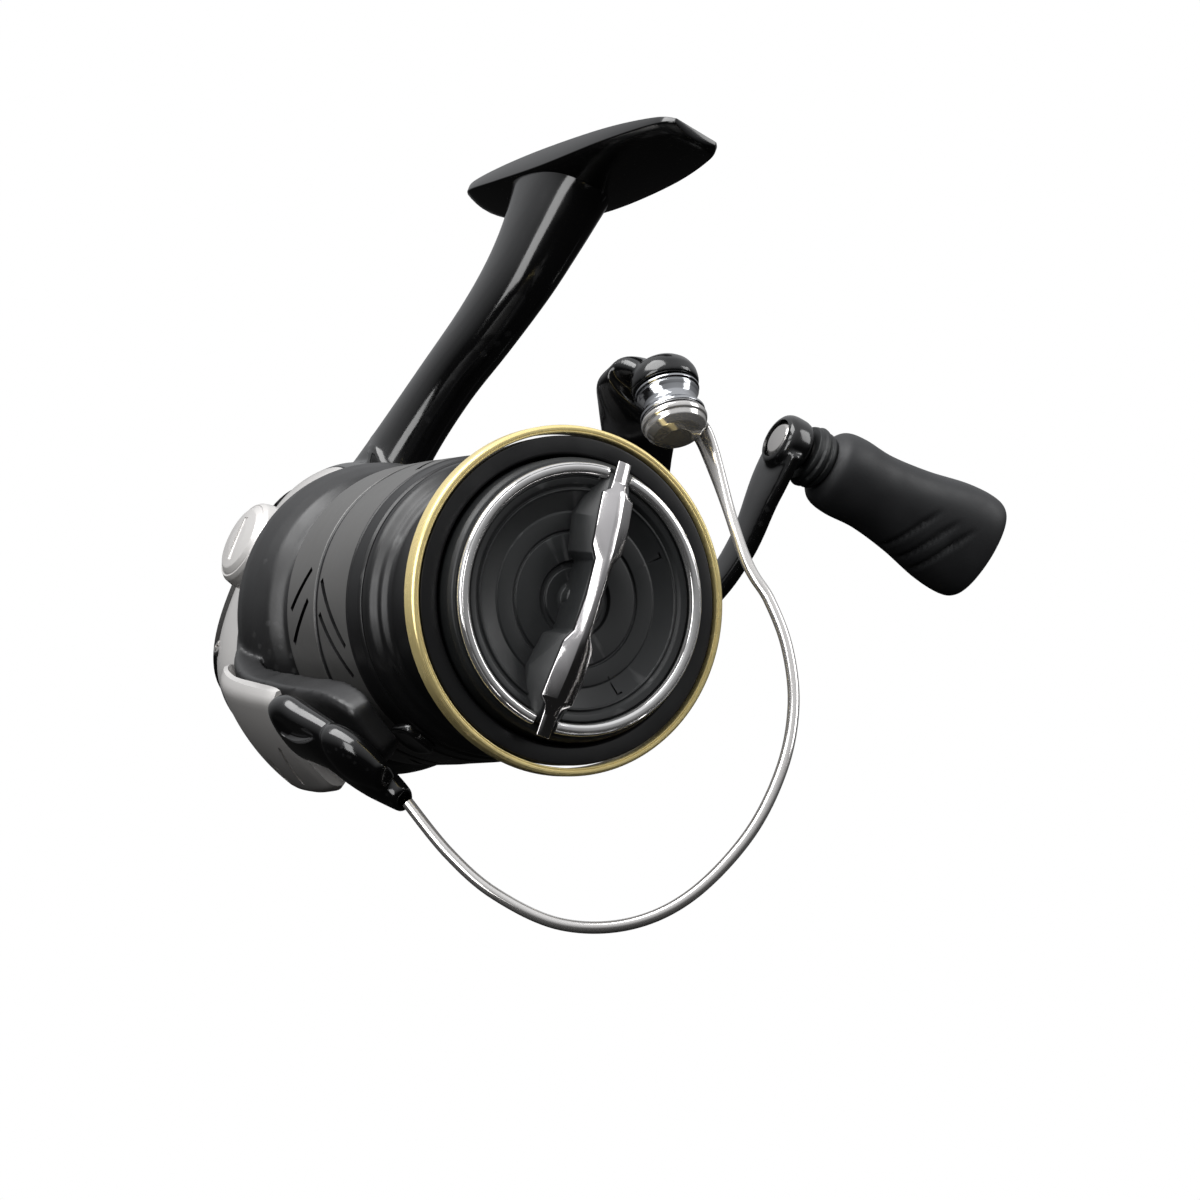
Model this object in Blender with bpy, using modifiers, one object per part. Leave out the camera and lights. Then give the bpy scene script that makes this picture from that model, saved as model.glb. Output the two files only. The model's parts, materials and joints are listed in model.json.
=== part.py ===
"""Spinning reel, 2500 size, built as an assembly of separate pieces.

World frame: the origin is the middle of the rod seat on top of the foot, +Z up, the spool faces -Y
and the handle is on +X.  Lengths below are in millimetres and are turned into metres by MM.

Three working frames are used:
  SPOOL  origin on the spool axis in the plane of the spool lip, local Z forward (world -Y), local Y up
  CRANK  origin where the drive gear axis crosses the middle plane, local Z along world +X
  BAIL   origin where the bail hinge crosses the spool axis, local X along the hinge, local Y backward
"""
import math

import bmesh
import bpy
from mathutils import Matrix, Vector

MM = 0.001

# ---- driving dimensions (mm) -------------------------------------------------------------------
AXIS_DROP = 74.0          # rod seat down to the spool axis
LIP_AHEAD = 51.0          # spool lip plane ahead of the middle of the rod seat
LIP_R = 23.0              # spool lip, 46 mm across
ARBOR_R = 18.0
SKIRT_R = 21.5
SKIRT_END = 44.8          # skirt rear edge behind the lip
ROTOR_R = 22.9
ROTOR_BACK = 62.5         # rotor rear edge behind the lip
CRANK_BACK = 77.5         # drive gear axis behind the lip
CRANK_UP = 5.2            # drive gear axis above the spool axis
CRANK_ARM = 53.0          # handle radius
CRANK_LEAN = 27.4         # handle leans forward from straight up, degrees
BAIL_BACK = 24.0          # bail hinge behind the lip
BAIL_TURN = 62.0          # direction of the hinge round the spool axis, degrees from +X to +Z
SHAFT_R = 2.0
DRIVE_TEETH = 30          # teeth on the drive gear
PINION_TEETH = 6
WORM_TEETH = 16           # teeth on the gear of the cross groove shaft
GAP = 0.3                 # gap between touching pieces
CAP_OUT = -19.6           # outer face of the cap on the far side, along the drive gear axis
BAR_TURN = 94.9           # direction of the drag knob's grip, degrees from +X to +Z
KNOB_TURN = 25.0          # the handle knob rests turned by this about its shaft
ARM_UP = CRANK_ARM * math.cos(math.radians(CRANK_LEAN))
ARM_AHEAD = -CRANK_ARM * math.sin(math.radians(CRANK_LEAN))
WORM = (1.6, 12.0)        # cross groove shaft, sideways and up from the spool axis
GUIDE = (2.8, 5.4)        # guide rod of the slider, likewise
SLIDER_BACK = 93.6        # slider behind the lip at rest
SPLIT = -8.6              # inner edge of the side cover, sideways
SLOTS = (                 # skirt slots: angle from +X toward +Z and distance behind the lip, both ends
    ((-171.4, 37.4), (-156.6, 42.8)), ((-159.7, 37.2), (-144.2, 42.8)),
    ((-166.7, 33.4), (-141.3, 26.6)), ((-154.1, 33.4), (-129.8, 27.2)))
GUARD_BACK = 97.5         # front edge of the rear guard behind the lip
CLIP_TURN = -98.0         # line clip on the skirt, degrees from +X to +Z
HOUSING = (               # behind the lip, half width, lowest, highest
    (63.0, 11.6, -14.5, 14.5), (65.5, 12.4, -18.0, 18.5), (71.0, 12.8, -19.8, 23.0),
    (78.0, 12.8, -20.3, 25.5), (86.0, 12.4, -19.0, 25.6), (94.0, 11.0, -15.5, 24.2),
    (100.0, 8.2, -11.0, 21.0), (104.0, 6.4, -7.0, 17.0), (106.3, 4.4, -3.2, 12.5))
WALL = 2.1                # wall of the housing
FRONT_WALL = 2.2
TAIL_WALL = 4.6
BORE_R = 7.5              # seats of the two crank bearings
WASHER_THICK = 0.9
WASHER_STEP = 1.25        # one drag washer to the next
KNOB_RING_R = 17.1        # polished ring on the drag knob
PIVOT_R = 1.2             # bail pivots
ROTOR_ARM = (             # behind the bail hinge, inner and outer radius, half angle
    (37.4, 20.6, 22.6, 23), (34.0, 21.2, 25.6, 22.5), (27.0, 23.4, 27.8, 19.5), (16.0, 24.0, 28.5, 17),
    (4.0, 24.4, 28.9, 15), (-4.0, 24.5, 28.9, 13.5), (-8.0, 24.8, 28.6, 8))
COVER_SCREWS = ((67.2, -10.5), (66.8, 14.6), (93.5, 14.0), (92.5, -8.0))    # behind the lip, up
ROLLER = Vector((32.2, -16.0, 9.5))               # line roller, in the bail frame
ROLLER_AXIS = Vector((0.56, 0.49, 0.64)).normalized()
WIRE_START = Vector((-31.3, -14.0, -8.4))         # chord of the bail wire, cam end and roller end
WIRE_END = Vector((32.9, -18.0, 2.8))
WIRE_TILT = 30            # plane of the wire leans forward, degrees
WIRE_ROUTE = (            # along the chord from the cam, out from the chord
    (0, 0.6), (-2.0, 9), (-2.5, 17), (-0.5, 26), (5, 33), (13, 37), (24, 38), (34, 36), (42, 32),
    (48, 26.5), (52, 20.5), (55, 14))

# ---- scene, collections, materials --------------------------------------------------------------
for old in list(bpy.data.objects):
    bpy.data.objects.remove(old, do_unlink=True)

PARTS = bpy.data.collections.new("spinning_reel")
TOOLS = bpy.data.collections.new("cutters")
bpy.context.scene.collection.children.link(PARTS)
bpy.context.scene.collection.children.link(TOOLS)

FINISHES = {                      # colour, metallic, roughness
    "black_gloss": ((0.012, 0.012, 0.013), 0.0, 0.18),
    "black_matte": ((0.020, 0.020, 0.021), 0.1, 0.55),
    "grey_satin": ((0.085, 0.083, 0.080), 0.6, 0.40),
    "silver_satin": ((0.72, 0.71, 0.69), 0.9, 0.30),
    "gold": ((0.86, 0.62, 0.25), 1.0, 0.18),
    "steel": ((0.62, 0.62, 0.62), 1.0, 0.22),
    "chrome": ((0.80, 0.80, 0.80), 1.0, 0.06),
    "brass": ((0.72, 0.56, 0.26), 1.0, 0.30),
    "rubber": ((0.030, 0.031, 0.033), 0.0, 0.75),
    "felt": ((0.35, 0.34, 0.32), 0.0, 0.90),
}
MATERIALS = {}
for label, (colour, metallic, roughness) in FINISHES.items():
    material = bpy.data.materials.new(label)
    material.use_nodes = True
    shader = material.node_tree.nodes["Principled BSDF"]
    shader.inputs["Base Color"].default_value = (*colour, 1.0)
    shader.inputs["Metallic"].default_value = metallic
    shader.inputs["Roughness"].default_value = roughness
    MATERIALS[label] = material

# ---- frames ---------------------------------------------------------------------------------------
def move(x, y, z):
    return Matrix.Translation((x * MM, y * MM, z * MM))


def turn(degrees, axis):
    return Matrix.Rotation(math.radians(degrees), 4, axis)


def from_lip(x, back, up):
    """World matrix of a point given from the lip centre: sideways, backward, upward."""
    return move(x, back - LIP_AHEAD, up - AXIS_DROP)


def aim(direction):
    """Rotation that takes local Z to a direction."""
    return Vector(direction).to_track_quat("Z", "Y").to_matrix().to_4x4()


SPOOL = from_lip(0, 0, 0) @ turn(90, "X")
CRANK = from_lip(0, CRANK_BACK, CRANK_UP) @ turn(90, "Y")
BAIL = from_lip(0, BAIL_BACK, 0) @ turn(-BAIL_TURN, "Y")
ROLLER_FRAME = BAIL @ Matrix.Translation(ROLLER * MM) @ aim(ROLLER_AXIS)
ALONG_X = turn(90, "Y")           # local Z to world +X
ALONG_X_NEG = turn(-90, "Y")      # local Z to world -X

# ---- modelling helpers ----------------------------------------------------------------------------
def add(name, mesh, finish, matrix, cutter=False):
    piece = bpy.data.objects.new(name, mesh)
    (TOOLS if cutter else PARTS).objects.link(piece)
    piece.matrix_world = matrix
    if cutter:
        piece.hide_render = True
        piece.display_type = "WIRE"
    else:
        mesh.materials.append(MATERIALS[finish])
    return piece


def turned(name, finish, matrix, profile, steps=36, cutter=False):
    """Screw a profile of (radius, height) round local Z; it runs down its outer side."""
    closed = profile[0][0] > 0 and profile[-1][0] > 0
    edges = [(i, i + 1) for i in range(len(profile) - 1)]
    if closed:
        edges.append((len(profile) - 1, 0))
    mesh = bpy.data.meshes.new(name)
    mesh.from_pydata([(r * MM, 0, h * MM) for r, h in profile], edges, [])
    piece = add(name, mesh, finish, matrix, cutter)
    screw = piece.modifiers.new("turn", "SCREW")
    screw.steps = screw.render_steps = steps
    screw.use_merge_vertices = True
    screw.merge_threshold = 0.00001
    screw.use_smooth_shade = True
    return piece


def rod(name, finish, matrix, radius, low, high, steps=24, cutter=False, bevel=0.0):
    if bevel:
        profile = [(0, high), (radius - bevel, high), (radius, high - bevel),
                   (radius, low + bevel), (radius - bevel, low), (0, low)]
    else:
        profile = [(0, high), (radius, high), (radius, low), (0, low)]
    return turned(name, finish, matrix, profile, steps, cutter)


def ring(name, finish, matrix, inner, outer, low, high, steps=24, cutter=False):
    profile = [(inner, high), (outer, high), (outer, low), (inner, low)]
    return turned(name, finish, matrix, profile, steps, cutter)


def box(name, finish, matrix, size, cutter=False, bevel=0.0):
    mesh = bpy.data.meshes.new(name)
    shape = bmesh.new()
    bmesh.ops.create_cube(shape, size=1.0)
    bmesh.ops.scale(shape, vec=Vector(size) * MM, verts=shape.verts)
    shape.to_mesh(mesh)
    shape.free()
    piece = add(name, mesh, finish, matrix, cutter)
    if bevel:
        edge = piece.modifiers.new("edge", "BEVEL")
        edge.width = bevel * MM
        edge.segments = 2
    return piece


def loft(name, finish, matrix, sections, cutter=False, closed=False):
    """Skin sections of the same number of points; cap both ends unless they close into a ring."""
    mesh = bpy.data.meshes.new(name)
    shape = bmesh.new()
    rows = [[shape.verts.new(Vector(p) * MM) for p in section] for section in sections]
    count = len(rows[0])
    for near, far in zip(rows, rows[1:] + (rows[:1] if closed else [])):
        for i in range(count):
            j = (i + 1) % count
            shape.faces.new((near[i], near[j], far[j], far[i]))
    if not closed:
        shape.faces.new(rows[0])
        shape.faces.new(rows[-1])
    bmesh.ops.recalc_face_normals(shape, faces=shape.faces)
    shape.to_mesh(mesh)
    shape.free()
    mesh.shade_smooth()
    mesh.set_sharp_from_angle(angle=math.radians(40))
    return add(name, mesh, finish, matrix, cutter)


def oval(centre, u, v, half_u, half_v, count=12, square=2.0):
    """Closed section round a centre; square above 2 makes it boxier."""
    points = []
    for i in range(count):
        a = 2 * math.pi * (i + 0.5) / count
        c, s = math.cos(a), math.sin(a)
        cu = math.copysign(abs(c) ** (2 / square), c) * half_u
        sv = math.copysign(abs(s) ** (2 / square), s) * half_v
        points.append(Vector(centre) + Vector(u) * cu + Vector(v) * sv)
    return points


def extruded(name, finish, matrix, outline, half, holes=(), cutter=False):
    """Flat outline in local XY, extruded half a thickness each way along local Z, as a mesh."""
    curve = bpy.data.curves.new(name, "CURVE")
    curve.dimensions = "2D"
    curve.fill_mode = "BOTH"
    curve.extrude = half * MM
    for loop in (outline, *holes):
        spline = curve.splines.new("POLY")
        spline.points.add(len(loop) - 1)
        spline.use_cyclic_u = True
        for point, (x, y) in zip(spline.points, loop):
            point.co = (x * MM, y * MM, 0, 1)
    return curve_to_mesh(name, finish, matrix, curve, cutter)


def wire(name, finish, matrix, points, radius, sides=2, cutter=False):
    curve = bpy.data.curves.new(name, "CURVE")
    curve.dimensions = "3D"
    curve.bevel_depth = radius * MM
    curve.bevel_resolution = sides
    curve.use_fill_caps = True
    spline = curve.splines.new("POLY")
    spline.points.add(len(points) - 1)
    for point, co in zip(spline.points, points):
        point.co = (*(Vector(co) * MM), 1)
    return curve_to_mesh(name, finish, matrix, curve, cutter)


def curve_to_mesh(name, finish, matrix, curve, cutter):
    guide = bpy.data.objects.new(name + "_guide", curve)
    bpy.context.scene.collection.objects.link(guide)
    bpy.context.view_layer.update()
    mesh = bpy.data.meshes.new_from_object(guide.evaluated_get(bpy.context.evaluated_depsgraph_get()))
    bpy.data.objects.remove(guide)
    shape = bmesh.new()
    shape.from_mesh(mesh)
    bmesh.ops.remove_doubles(shape, verts=shape.verts, dist=0.000001)
    bmesh.ops.recalc_face_normals(shape, faces=shape.faces)
    shape.to_mesh(mesh)
    shape.free()
    mesh.materials.clear()
    return add(name, mesh, finish, matrix, cutter)


def combine(piece, other, operation):
    step = piece.modifiers.new(other.name, "BOOLEAN")
    step.operation = operation
    step.object = other
    step.solver = "EXACT"


def cut(piece, *cutters):
    for cutter in cutters:
        combine(piece, cutter, "DIFFERENCE")


def join(piece, *others):
    for other in others:
        combine(piece, other, "UNION")


def circle(radius, count, start=0.0, centre=(0, 0)):
    return [(centre[0] + radius * math.cos(start + 2 * math.pi * i / count),
             centre[1] + radius * math.sin(start + 2 * math.pi * i / count)) for i in range(count)]


def gear_outline(teeth, root, tip):
    """Trapezoid teeth between a root and a tip radius."""
    points = []
    for tooth in range(teeth):
        for share, radius in ((0.0, root), (0.30, root), (0.45, tip), (0.70, tip), (0.85, root)):
            a = 2 * math.pi * (tooth + share) / teeth
            points.append((radius * math.cos(a), radius * math.sin(a)))
    return points


def smooth(points, per_span):
    """Points read from a Catmull-Rom curve through the given points."""
    pts = [Vector(p) for p in points]
    pts = [2 * pts[0] - pts[1]] + pts + [2 * pts[-1] - pts[-2]]
    out = []
    for a, b, c, d in zip(pts, pts[1:], pts[2:], pts[3:]):
        for i in range(per_span):
            t = i / per_span
            out.append(0.5 * ((2 * b) + (c - a) * t + (2 * a - 5 * b + 4 * c - d) * t * t
                              + (3 * b - a - 3 * c + d) * t ** 3))
    out.append(pts[-2])
    return out


# ---- spool ----------------------------------------------------------------------------------------
def make_spool():
    turned("spool", "black_matte", SPOOL, [
        (19.4, -0.3), (21.6, -0.3), (21.6, -3.1), (20.4, -3.8), (ARBOR_R, -4.4), (ARBOR_R, -17.4),
        (18.5, -18.2), (20.2, -19.7), (20.5, -21.1), (16.4, -21.1), (16.4, -16.0), (4.3, -16.0),
        (4.3, -13.0), (12.5, -13.0), (12.5, -6.2), (19.0, -6.2)], 36)
    turned("spool_lip_ring", "gold", SPOOL, [
        (21.9, 0.1), (22.6, 0.1), (LIP_R, -0.3), (LIP_R, -2.2), (22.5, -2.8), (21.9, -2.8)], 40)
    skirt = turned("spool_skirt", "grey_satin", SPOOL, [
        (16.8, -21.4), (20.6, -21.4), (21.1, -24.6), (21.35, -34.3), (21.1, -34.6), (21.1, -35.0),
        (21.4, -35.3), (SKIRT_R, -44.4), (21.2, -SKIRT_END), (20.2, -SKIRT_END), (20.2, -22.7),
        (16.8, -22.7)], 36)
    for group in range(4):
        for index, (start, end) in enumerate(SLOTS):
            low, high = (Matrix.Rotation(math.radians(a), 3, "Z") @ Vector((SKIRT_R, 0, -back))
                         for a, back in (start, end))
            along = (high - low).normalized()
            out = Vector((low.x + high.x, low.y + high.y, 0)).normalized()
            out = (out - along * out.dot(along)).normalized()
            side = out.cross(along)
            facing = Matrix((out, side, along)).transposed().to_4x4()
            place = SPOOL @ turn(90 * group, "Z") @ Matrix.Translation((low + high) / 2 * MM) @ facing
            size = (2.6, 0.9, (high - low).length)
            cut(skirt, box("slot_%d_%d" % (group, index), "", place, size, cutter=True))
    box("line_clip", "black_gloss", SPOOL @ turn(CLIP_TURN, "Z") @ move(21.95, 0, -25.8),
        (0.8, 5.0, 6.8), bevel=0.25)


def make_drag():
    """Drag washers in the front of the spool, and the hub they run on."""
    for index, finish in enumerate(("felt", "steel", "felt", "steel")):
        low = -12.7 + index * WASHER_STEP
        label = "drag_washer_%s_%d" % (finish, index // 2 + 1)
        ring(label, finish, SPOOL, 5.4, 12.0, low, low + WASHER_THICK, 24)
    c_ring = [(11.9 * math.cos(a), 11.9 * math.sin(a), -7.1)
              for a in [math.radians(20 + 20 * i) for i in range(17)]]
    wire("drag_retainer", "steel", SPOOL, c_ring, 0.35, sides=1)
    turned("spool_hub", "brass", SPOOL, [
        (2.35, -6.6), (4.9, -6.6), (4.9, -12.6), (3.9, -12.6), (3.9, -22.6), (6.5, -22.6),
        (6.5, -24.0), (2.35, -24.0)], 24)
    click = gear_outline(18, 8.6, 9.6)
    extruded("click_ratchet", "black_matte", SPOOL @ move(0, 0, -17.4), click, 0.7, [circle(4.5, 16)])


def make_drag_knob():
    knob = turned("drag_knob", "black_matte", SPOOL, [
        (0, 1.4), (6.0, 1.4), (6.4, 0.9), (11.5, 0.9), (14.2, 2.2), (16.0, 2.6), (16.1, 2.0), (18.1, 2.0),
        (18.6, 1.5), (18.6, -3.6), (17.8, -5.6), (9.6, -5.6), (9.6, -1.6), (0, -1.6)], 40)
    base = loft("knob_grip", "", SPOOL @ turn(BAR_TURN, "Z"), [
        oval((x, 0, low), (0, 1, 0), (0, 0, 1), half, tall, 8, 4)
        for x, half, low, tall in ((-16.6, 1.6, 1.9, 1.1), (-12.0, 2.6, 2.6, 2.2), (-4.5, 1.8, 3.1, 2.4),
                                   (0, 1.5, 3.2, 2.5), (4.5, 1.8, 3.1, 2.4), (12.0, 2.6, 2.6, 2.2),
                                   (16.6, 1.6, 1.9, 1.1))], cutter=True)
    join(knob, base)
    for side, first in (("a", 7), ("b", 187)):
        arc = [(KNOB_RING_R * math.cos(a), KNOB_RING_R * math.sin(a), 3.0)
               for a in [math.radians(BAR_TURN + first + 166 * i / 18) for i in range(19)]]
        wire("knob_ring_" + side, "steel", SPOOL, arc, 0.75, sides=1)
    loft("knob_plate", "steel", SPOOL @ turn(BAR_TURN, "Z"), [
        oval((x, 0, mid), (0, 1, 0), (0, 0, 1), half, 0.5, 8, 5)
        for x, half, mid in ((-18.4, 1.1, 3.9), (-15.6, 1.3, 4.2), (-14.6, 2.4, 4.9), (-9.0, 2.5, 5.9),
                             (-4.0, 1.5, 6.5), (0, 1.4, 6.7), (4.0, 1.5, 6.5), (9.0, 2.5, 5.9),
                             (14.6, 2.4, 4.9), (15.6, 1.3, 4.2), (18.4, 1.1, 3.9))])
    extruded("knob_nut", "brass", SPOOL @ move(0, 0, -4.1), circle(5.6, 6), 1.1, [circle(2.3, 16)])
    spring = [(6.9 * math.cos(a), 6.9 * math.sin(a), -2.2 - 3.0 * i / 30)
              for i, a in enumerate([2 * math.pi * i / 12 for i in range(31)])]
    wire("knob_spring", "steel", SPOOL, spring, 0.3, sides=0)


# ---- shaft and oscillation ------------------------------------------------------------------------
def make_oscillation():
    rod("main_shaft", "steel", SPOOL, SHAFT_R, -96.6, -2.2, 20, bevel=0.3)
    plate = [(-3.6, 3.4), (-3.6, -3.4), (3.4, -3.4), (5.0, 3.0), (5.0, 13.6), (3.6, 15.4), (-0.4, 15.4),
             (-1.8, 13.4), (-1.8, 6.6)]
    slider = extruded("oscillation_slider", "steel", SPOOL @ move(0, 0, -SLIDER_BACK), plate, 2.0,
                      [circle(2.3, 16), circle(2.5, 16, centre=WORM), circle(1.5, 12, centre=GUIDE)])
    below = SPOOL @ move(*WORM, -SLIDER_BACK) @ turn(90, "X")
    cut(slider, rod("pawl_hole", "", below, 1.1, 2.0, 4.4, 12, True))
    rod("worm_pawl", "brass", below, 0.8, 2.7, 4.1, 12)
    turned("worm_shaft", "steel", SPOOL @ move(*WORM, 0), worm_profile(), 12)
    extruded("worm_gear", "brass", SPOOL @ move(*WORM, -70.0), gear_outline(WORM_TEETH, 5.4, 6.2), 1.3,
             [circle(2.5, 16)])
    rod("guide_rod", "steel", SPOOL @ move(*GUIDE, 0), 1.2, -103.2, -82.2, 12)


def worm_profile():
    """Shaft with five shallow ring grooves."""
    profile = [(0, -64.6), (1.5, -64.6), (1.5, -66.0), (2.2, -66.0)]
    for i in range(5):
        start = -77.0 - 4.8 * i
        profile += [(2.2, start), (1.8, start - 0.5), (1.8, start - 1.2), (2.2, start - 1.7)]
    return profile + [(2.2, -101.0), (1.5, -101.0), (1.5, -103.2), (0, -103.2)]


# ---- rotor and what turns with it -------------------------------------------------------------------
def make_rotor():
    rotor = turned("rotor", "black_matte", SPOOL, [
        (17.7, -33.0), (19.3, -33.0), (19.3, -50.6), (20.9, -51.6), (22.4, -55.0), (ROTOR_R, -58.4),
        (22.4, -60.6), (21.2, -ROTOR_BACK), (20.0, -ROTOR_BACK), (19.9, -57.5), (17.5, -54.6),
        (3.8, -54.6), (3.8, -51.5), (17.7, -51.5)], 36)
    for side, spin, facing in (("lever", 0, ALONG_X), ("cam", 180, ALONG_X_NEG)):
        join(rotor, loft("rotor_arm_" + side, "", BAIL @ turn(spin, "Y"), [
            strip_section(back, low, high, half, 0) for back, low, high, half in ROTOR_ARM], cutter=True))
        cut(rotor, rod("pivot_hole_" + side, "", BAIL @ facing, PIVOT_R + GAP, 20, 32, 12, True))
    pocket = box("spring_pocket", "", BAIL @ move(-27.6, 17.0, -3.0), (3.6, 14, 4.0), cutter=True)
    cut(rotor, pocket)
    extruded("rotor_nut", "brass", SPOOL @ move(0, 0, -49.9), circle(6.0, 6), 1.3, [circle(3.8, 16)])
    pinion = ring("pinion_gear", "brass", SPOOL, 2.4, 3.5, -66.0, -48.4, 16)
    teeth = gear_outline(PINION_TEETH, 3.9, 4.7)
    join(pinion, extruded("pinion_teeth", "", SPOOL @ move(0, 0, -67.6), teeth, 3.4, [circle(2.4, 16)],
                          cutter=True))
    ring("clutch_sleeve", "steel", SPOOL, 3.8, 5.0, -59.4, -55.0, 20)


def strip_section(back, low, high, half_turn, middle, count=7):
    """Section of a curved strip of shell round the spool axis, between two radii."""
    angles = [math.radians(middle - half_turn + 2 * half_turn * i / (count - 1)) for i in range(count)]
    outer = [(high * math.cos(a), back, high * math.sin(a)) for a in angles]
    inner = [(low * math.cos(a), back, low * math.sin(a)) for a in reversed(angles)]
    return outer + inner


def make_arm_covers():
    """Covers over the two rotor arms; the one over the lever arm stops short to let the lever fold."""
    for name, finish, spin, front, rise in (("cam_arm_cover", "silver_satin", 0, 9.5, 31.5),
                                            ("lever_arm_cover", "black_gloss", 180, 21.0, 29.9)):
        middle = (27.0 + front) / 2 - 1.0
        cover = loft(name, finish, BAIL @ turn(spin, "Y"), [
            strip_section(back, low, high, half, 180)
            for back, low, high, half in ((37.4, 23.4, 24.6, 22), (34.0, 26.0, 27.6, 22),
                                          (27.0, 28.2, rise - 1.3, 19.5), (middle, 28.9, rise - 0.2, 18),
                                          (front, 29.2, rise, 16))])
        if name == "cam_arm_cover":
            for across, back in ((-4.5, 26.0), (1.5, 20.0)):
                cut(cover, box("cover_slot_%d" % back, "", BAIL @ move(-30, back, across) @ turn(-35, "X"),
                               (8, 7.0, 1.1), cutter=True))
    coil = [(-27.2 + 0.9 * math.cos(a), 11.4 + 11.2 * i / 42, -3.0 + 0.9 * math.sin(a))
            for i, a in enumerate([2 * math.pi * i / 7 for i in range(43)])]
    wire("bail_spring", "steel", BAIL, coil, 0.22, sides=0)


# ---- bail -------------------------------------------------------------------------------------------
def make_bail():
    """Cam, wire and lever turn together about the hinge."""
    cam = loft("bail_cam", "black_gloss", BAIL, [
        oval((-31.4, 6.6, 1.6), (1, 0, 0), (0, 0, 1), 0.9, 3.0, 12, 2.4),
        oval((-31.8, 4.6, 1.4), (1, 0, 0), (0, 0, 1), 1.9, 5.6, 12, 2.4),
        oval((-32.0, 0.0, 0.4), (1, 0, 0), (0, 0, 1), 2.4, 7.0, 12, 2.4),
        oval((-32.2, -5.0, -1.8), (1, 0, 0), (0, 0.3, 1), 2.5, 5.6, 12, 2.4),
        oval((-31.8, -9.6, -5.0), (1, 0, 0), (0, -0.4, 0.9), 2.4, 3.6, 12, 2.2),
        oval(WIRE_START + Vector((0, 1.6, 1.0)), (1, 0, 0), (0, -0.5, 0.86), 2.1, 2.3, 12),
        oval(WIRE_START, (1, 0, 0), (0, -0.5, 0.86), 1.5, 1.6, 12)])
    cut(cam, rod("wire_socket", "", BAIL @ Matrix.Translation(WIRE_START * MM) @ aim((0, -0.86, -0.5)),
                 1.15, -3.2, 2.0, 12, True))
    lever = loft("bail_lever", "black_gloss", BAIL, [
        oval((31.0, 5.4, 0.0), (1, 0, 0), (0, 0, 1), 1.2, 3.6, 12, 2.4),
        oval((31.1, 3.2, 1.4), (1, 0, 0), (0, 0, 1), 1.7, 6.6, 12, 2.4),
        oval((31.3, -1.6, 4.6), (1, 0, 0), (0, 0, 1), 1.9, 8.4, 12, 2.4),
        oval((31.6, -6.0, 7.8), (0.98, 0, 0.16), (-0.16, 0, 0.98), 1.9, 7.4, 12, 2.4),
        oval((32.8, -9.8, 10.6), (0.95, 0, 0.3), (-0.3, 0.1, 0.95), 1.9, 5.4, 12, 2.4),
        oval(ROLLER + ROLLER_AXIS * 4.4 + Vector((-0.4, 2.6, 0.2)), (0.85, -0.3, 0.3), (-0.45, 0.1, 0.88),
             2.0, 4.2, 12, 2.4),
        oval(ROLLER + ROLLER_AXIS * 4.6, (0.7, -0.6, -0.1), (-0.55, -0.1, 0.76), 2.0, 4.2, 12, 2.4),
        oval(ROLLER + ROLLER_AXIS * 4.6 + Vector((0.6, -3.2, 1.6)), (0.6, -0.5, -0.2), (-0.5, -0.1, 0.7),
             1.2, 2.4, 12, 2.4)])
    head = rod("lever_head", "", ROLLER_FRAME, 4.6, 2.5, 6.2, 20, True, bevel=0.6)
    join(lever, head)
    cut(lever, rod("head_hole", "", ROLLER_FRAME, 1.6, 0, 9, 12, True))
    ring("line_roller", "chrome", ROLLER_FRAME, 2.3, 4.4, -2.2, 2.2, 24)
    ring("roller_bush", "steel", ROLLER_FRAME, 1.5, 2.0, -2.2, 2.2, 16)
    rod("roller_screw", "steel", ROLLER_FRAME, 1.2, -4.2, 5.6, 12)
    bail_wire = turned("bail_wire", "steel", ROLLER_FRAME, [
        (1.5, -2.5), (4.5, -2.5), (4.5, -3.4), (3.6, -4.9), (1.5, -4.9)], 24)
    route = [bail_point(s, h) for s, h in WIRE_ROUTE]
    cap_middle = ROLLER - ROLLER_AXIS * 3.4
    reach = route[-1] - cap_middle
    reach = (reach - ROLLER_AXIS * reach.dot(ROLLER_AXIS)).normalized()
    rail = wire("wire_rail", "", BAIL, smooth(route + [cap_middle + reach * 3.4], 3), 0.8, cutter=True)
    join(bail_wire, rail)
    for side, facing in (("lever", ALONG_X), ("cam", ALONG_X_NEG)):
        rod("bail_pivot_" + side, "steel", BAIL @ facing, PIVOT_R, 24.4, 29.3, 12)


def bail_point(along, out):
    """Point of the wire plane: distance along the chord from the cam, and out from it."""
    chord = (WIRE_END - WIRE_START).normalized()
    tilt = math.radians(WIRE_TILT)
    side = Vector((0, -math.sin(tilt), -math.cos(tilt)))
    side = (side - chord * side.dot(chord)).normalized()
    return WIRE_START + chord * along + side * out


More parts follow.
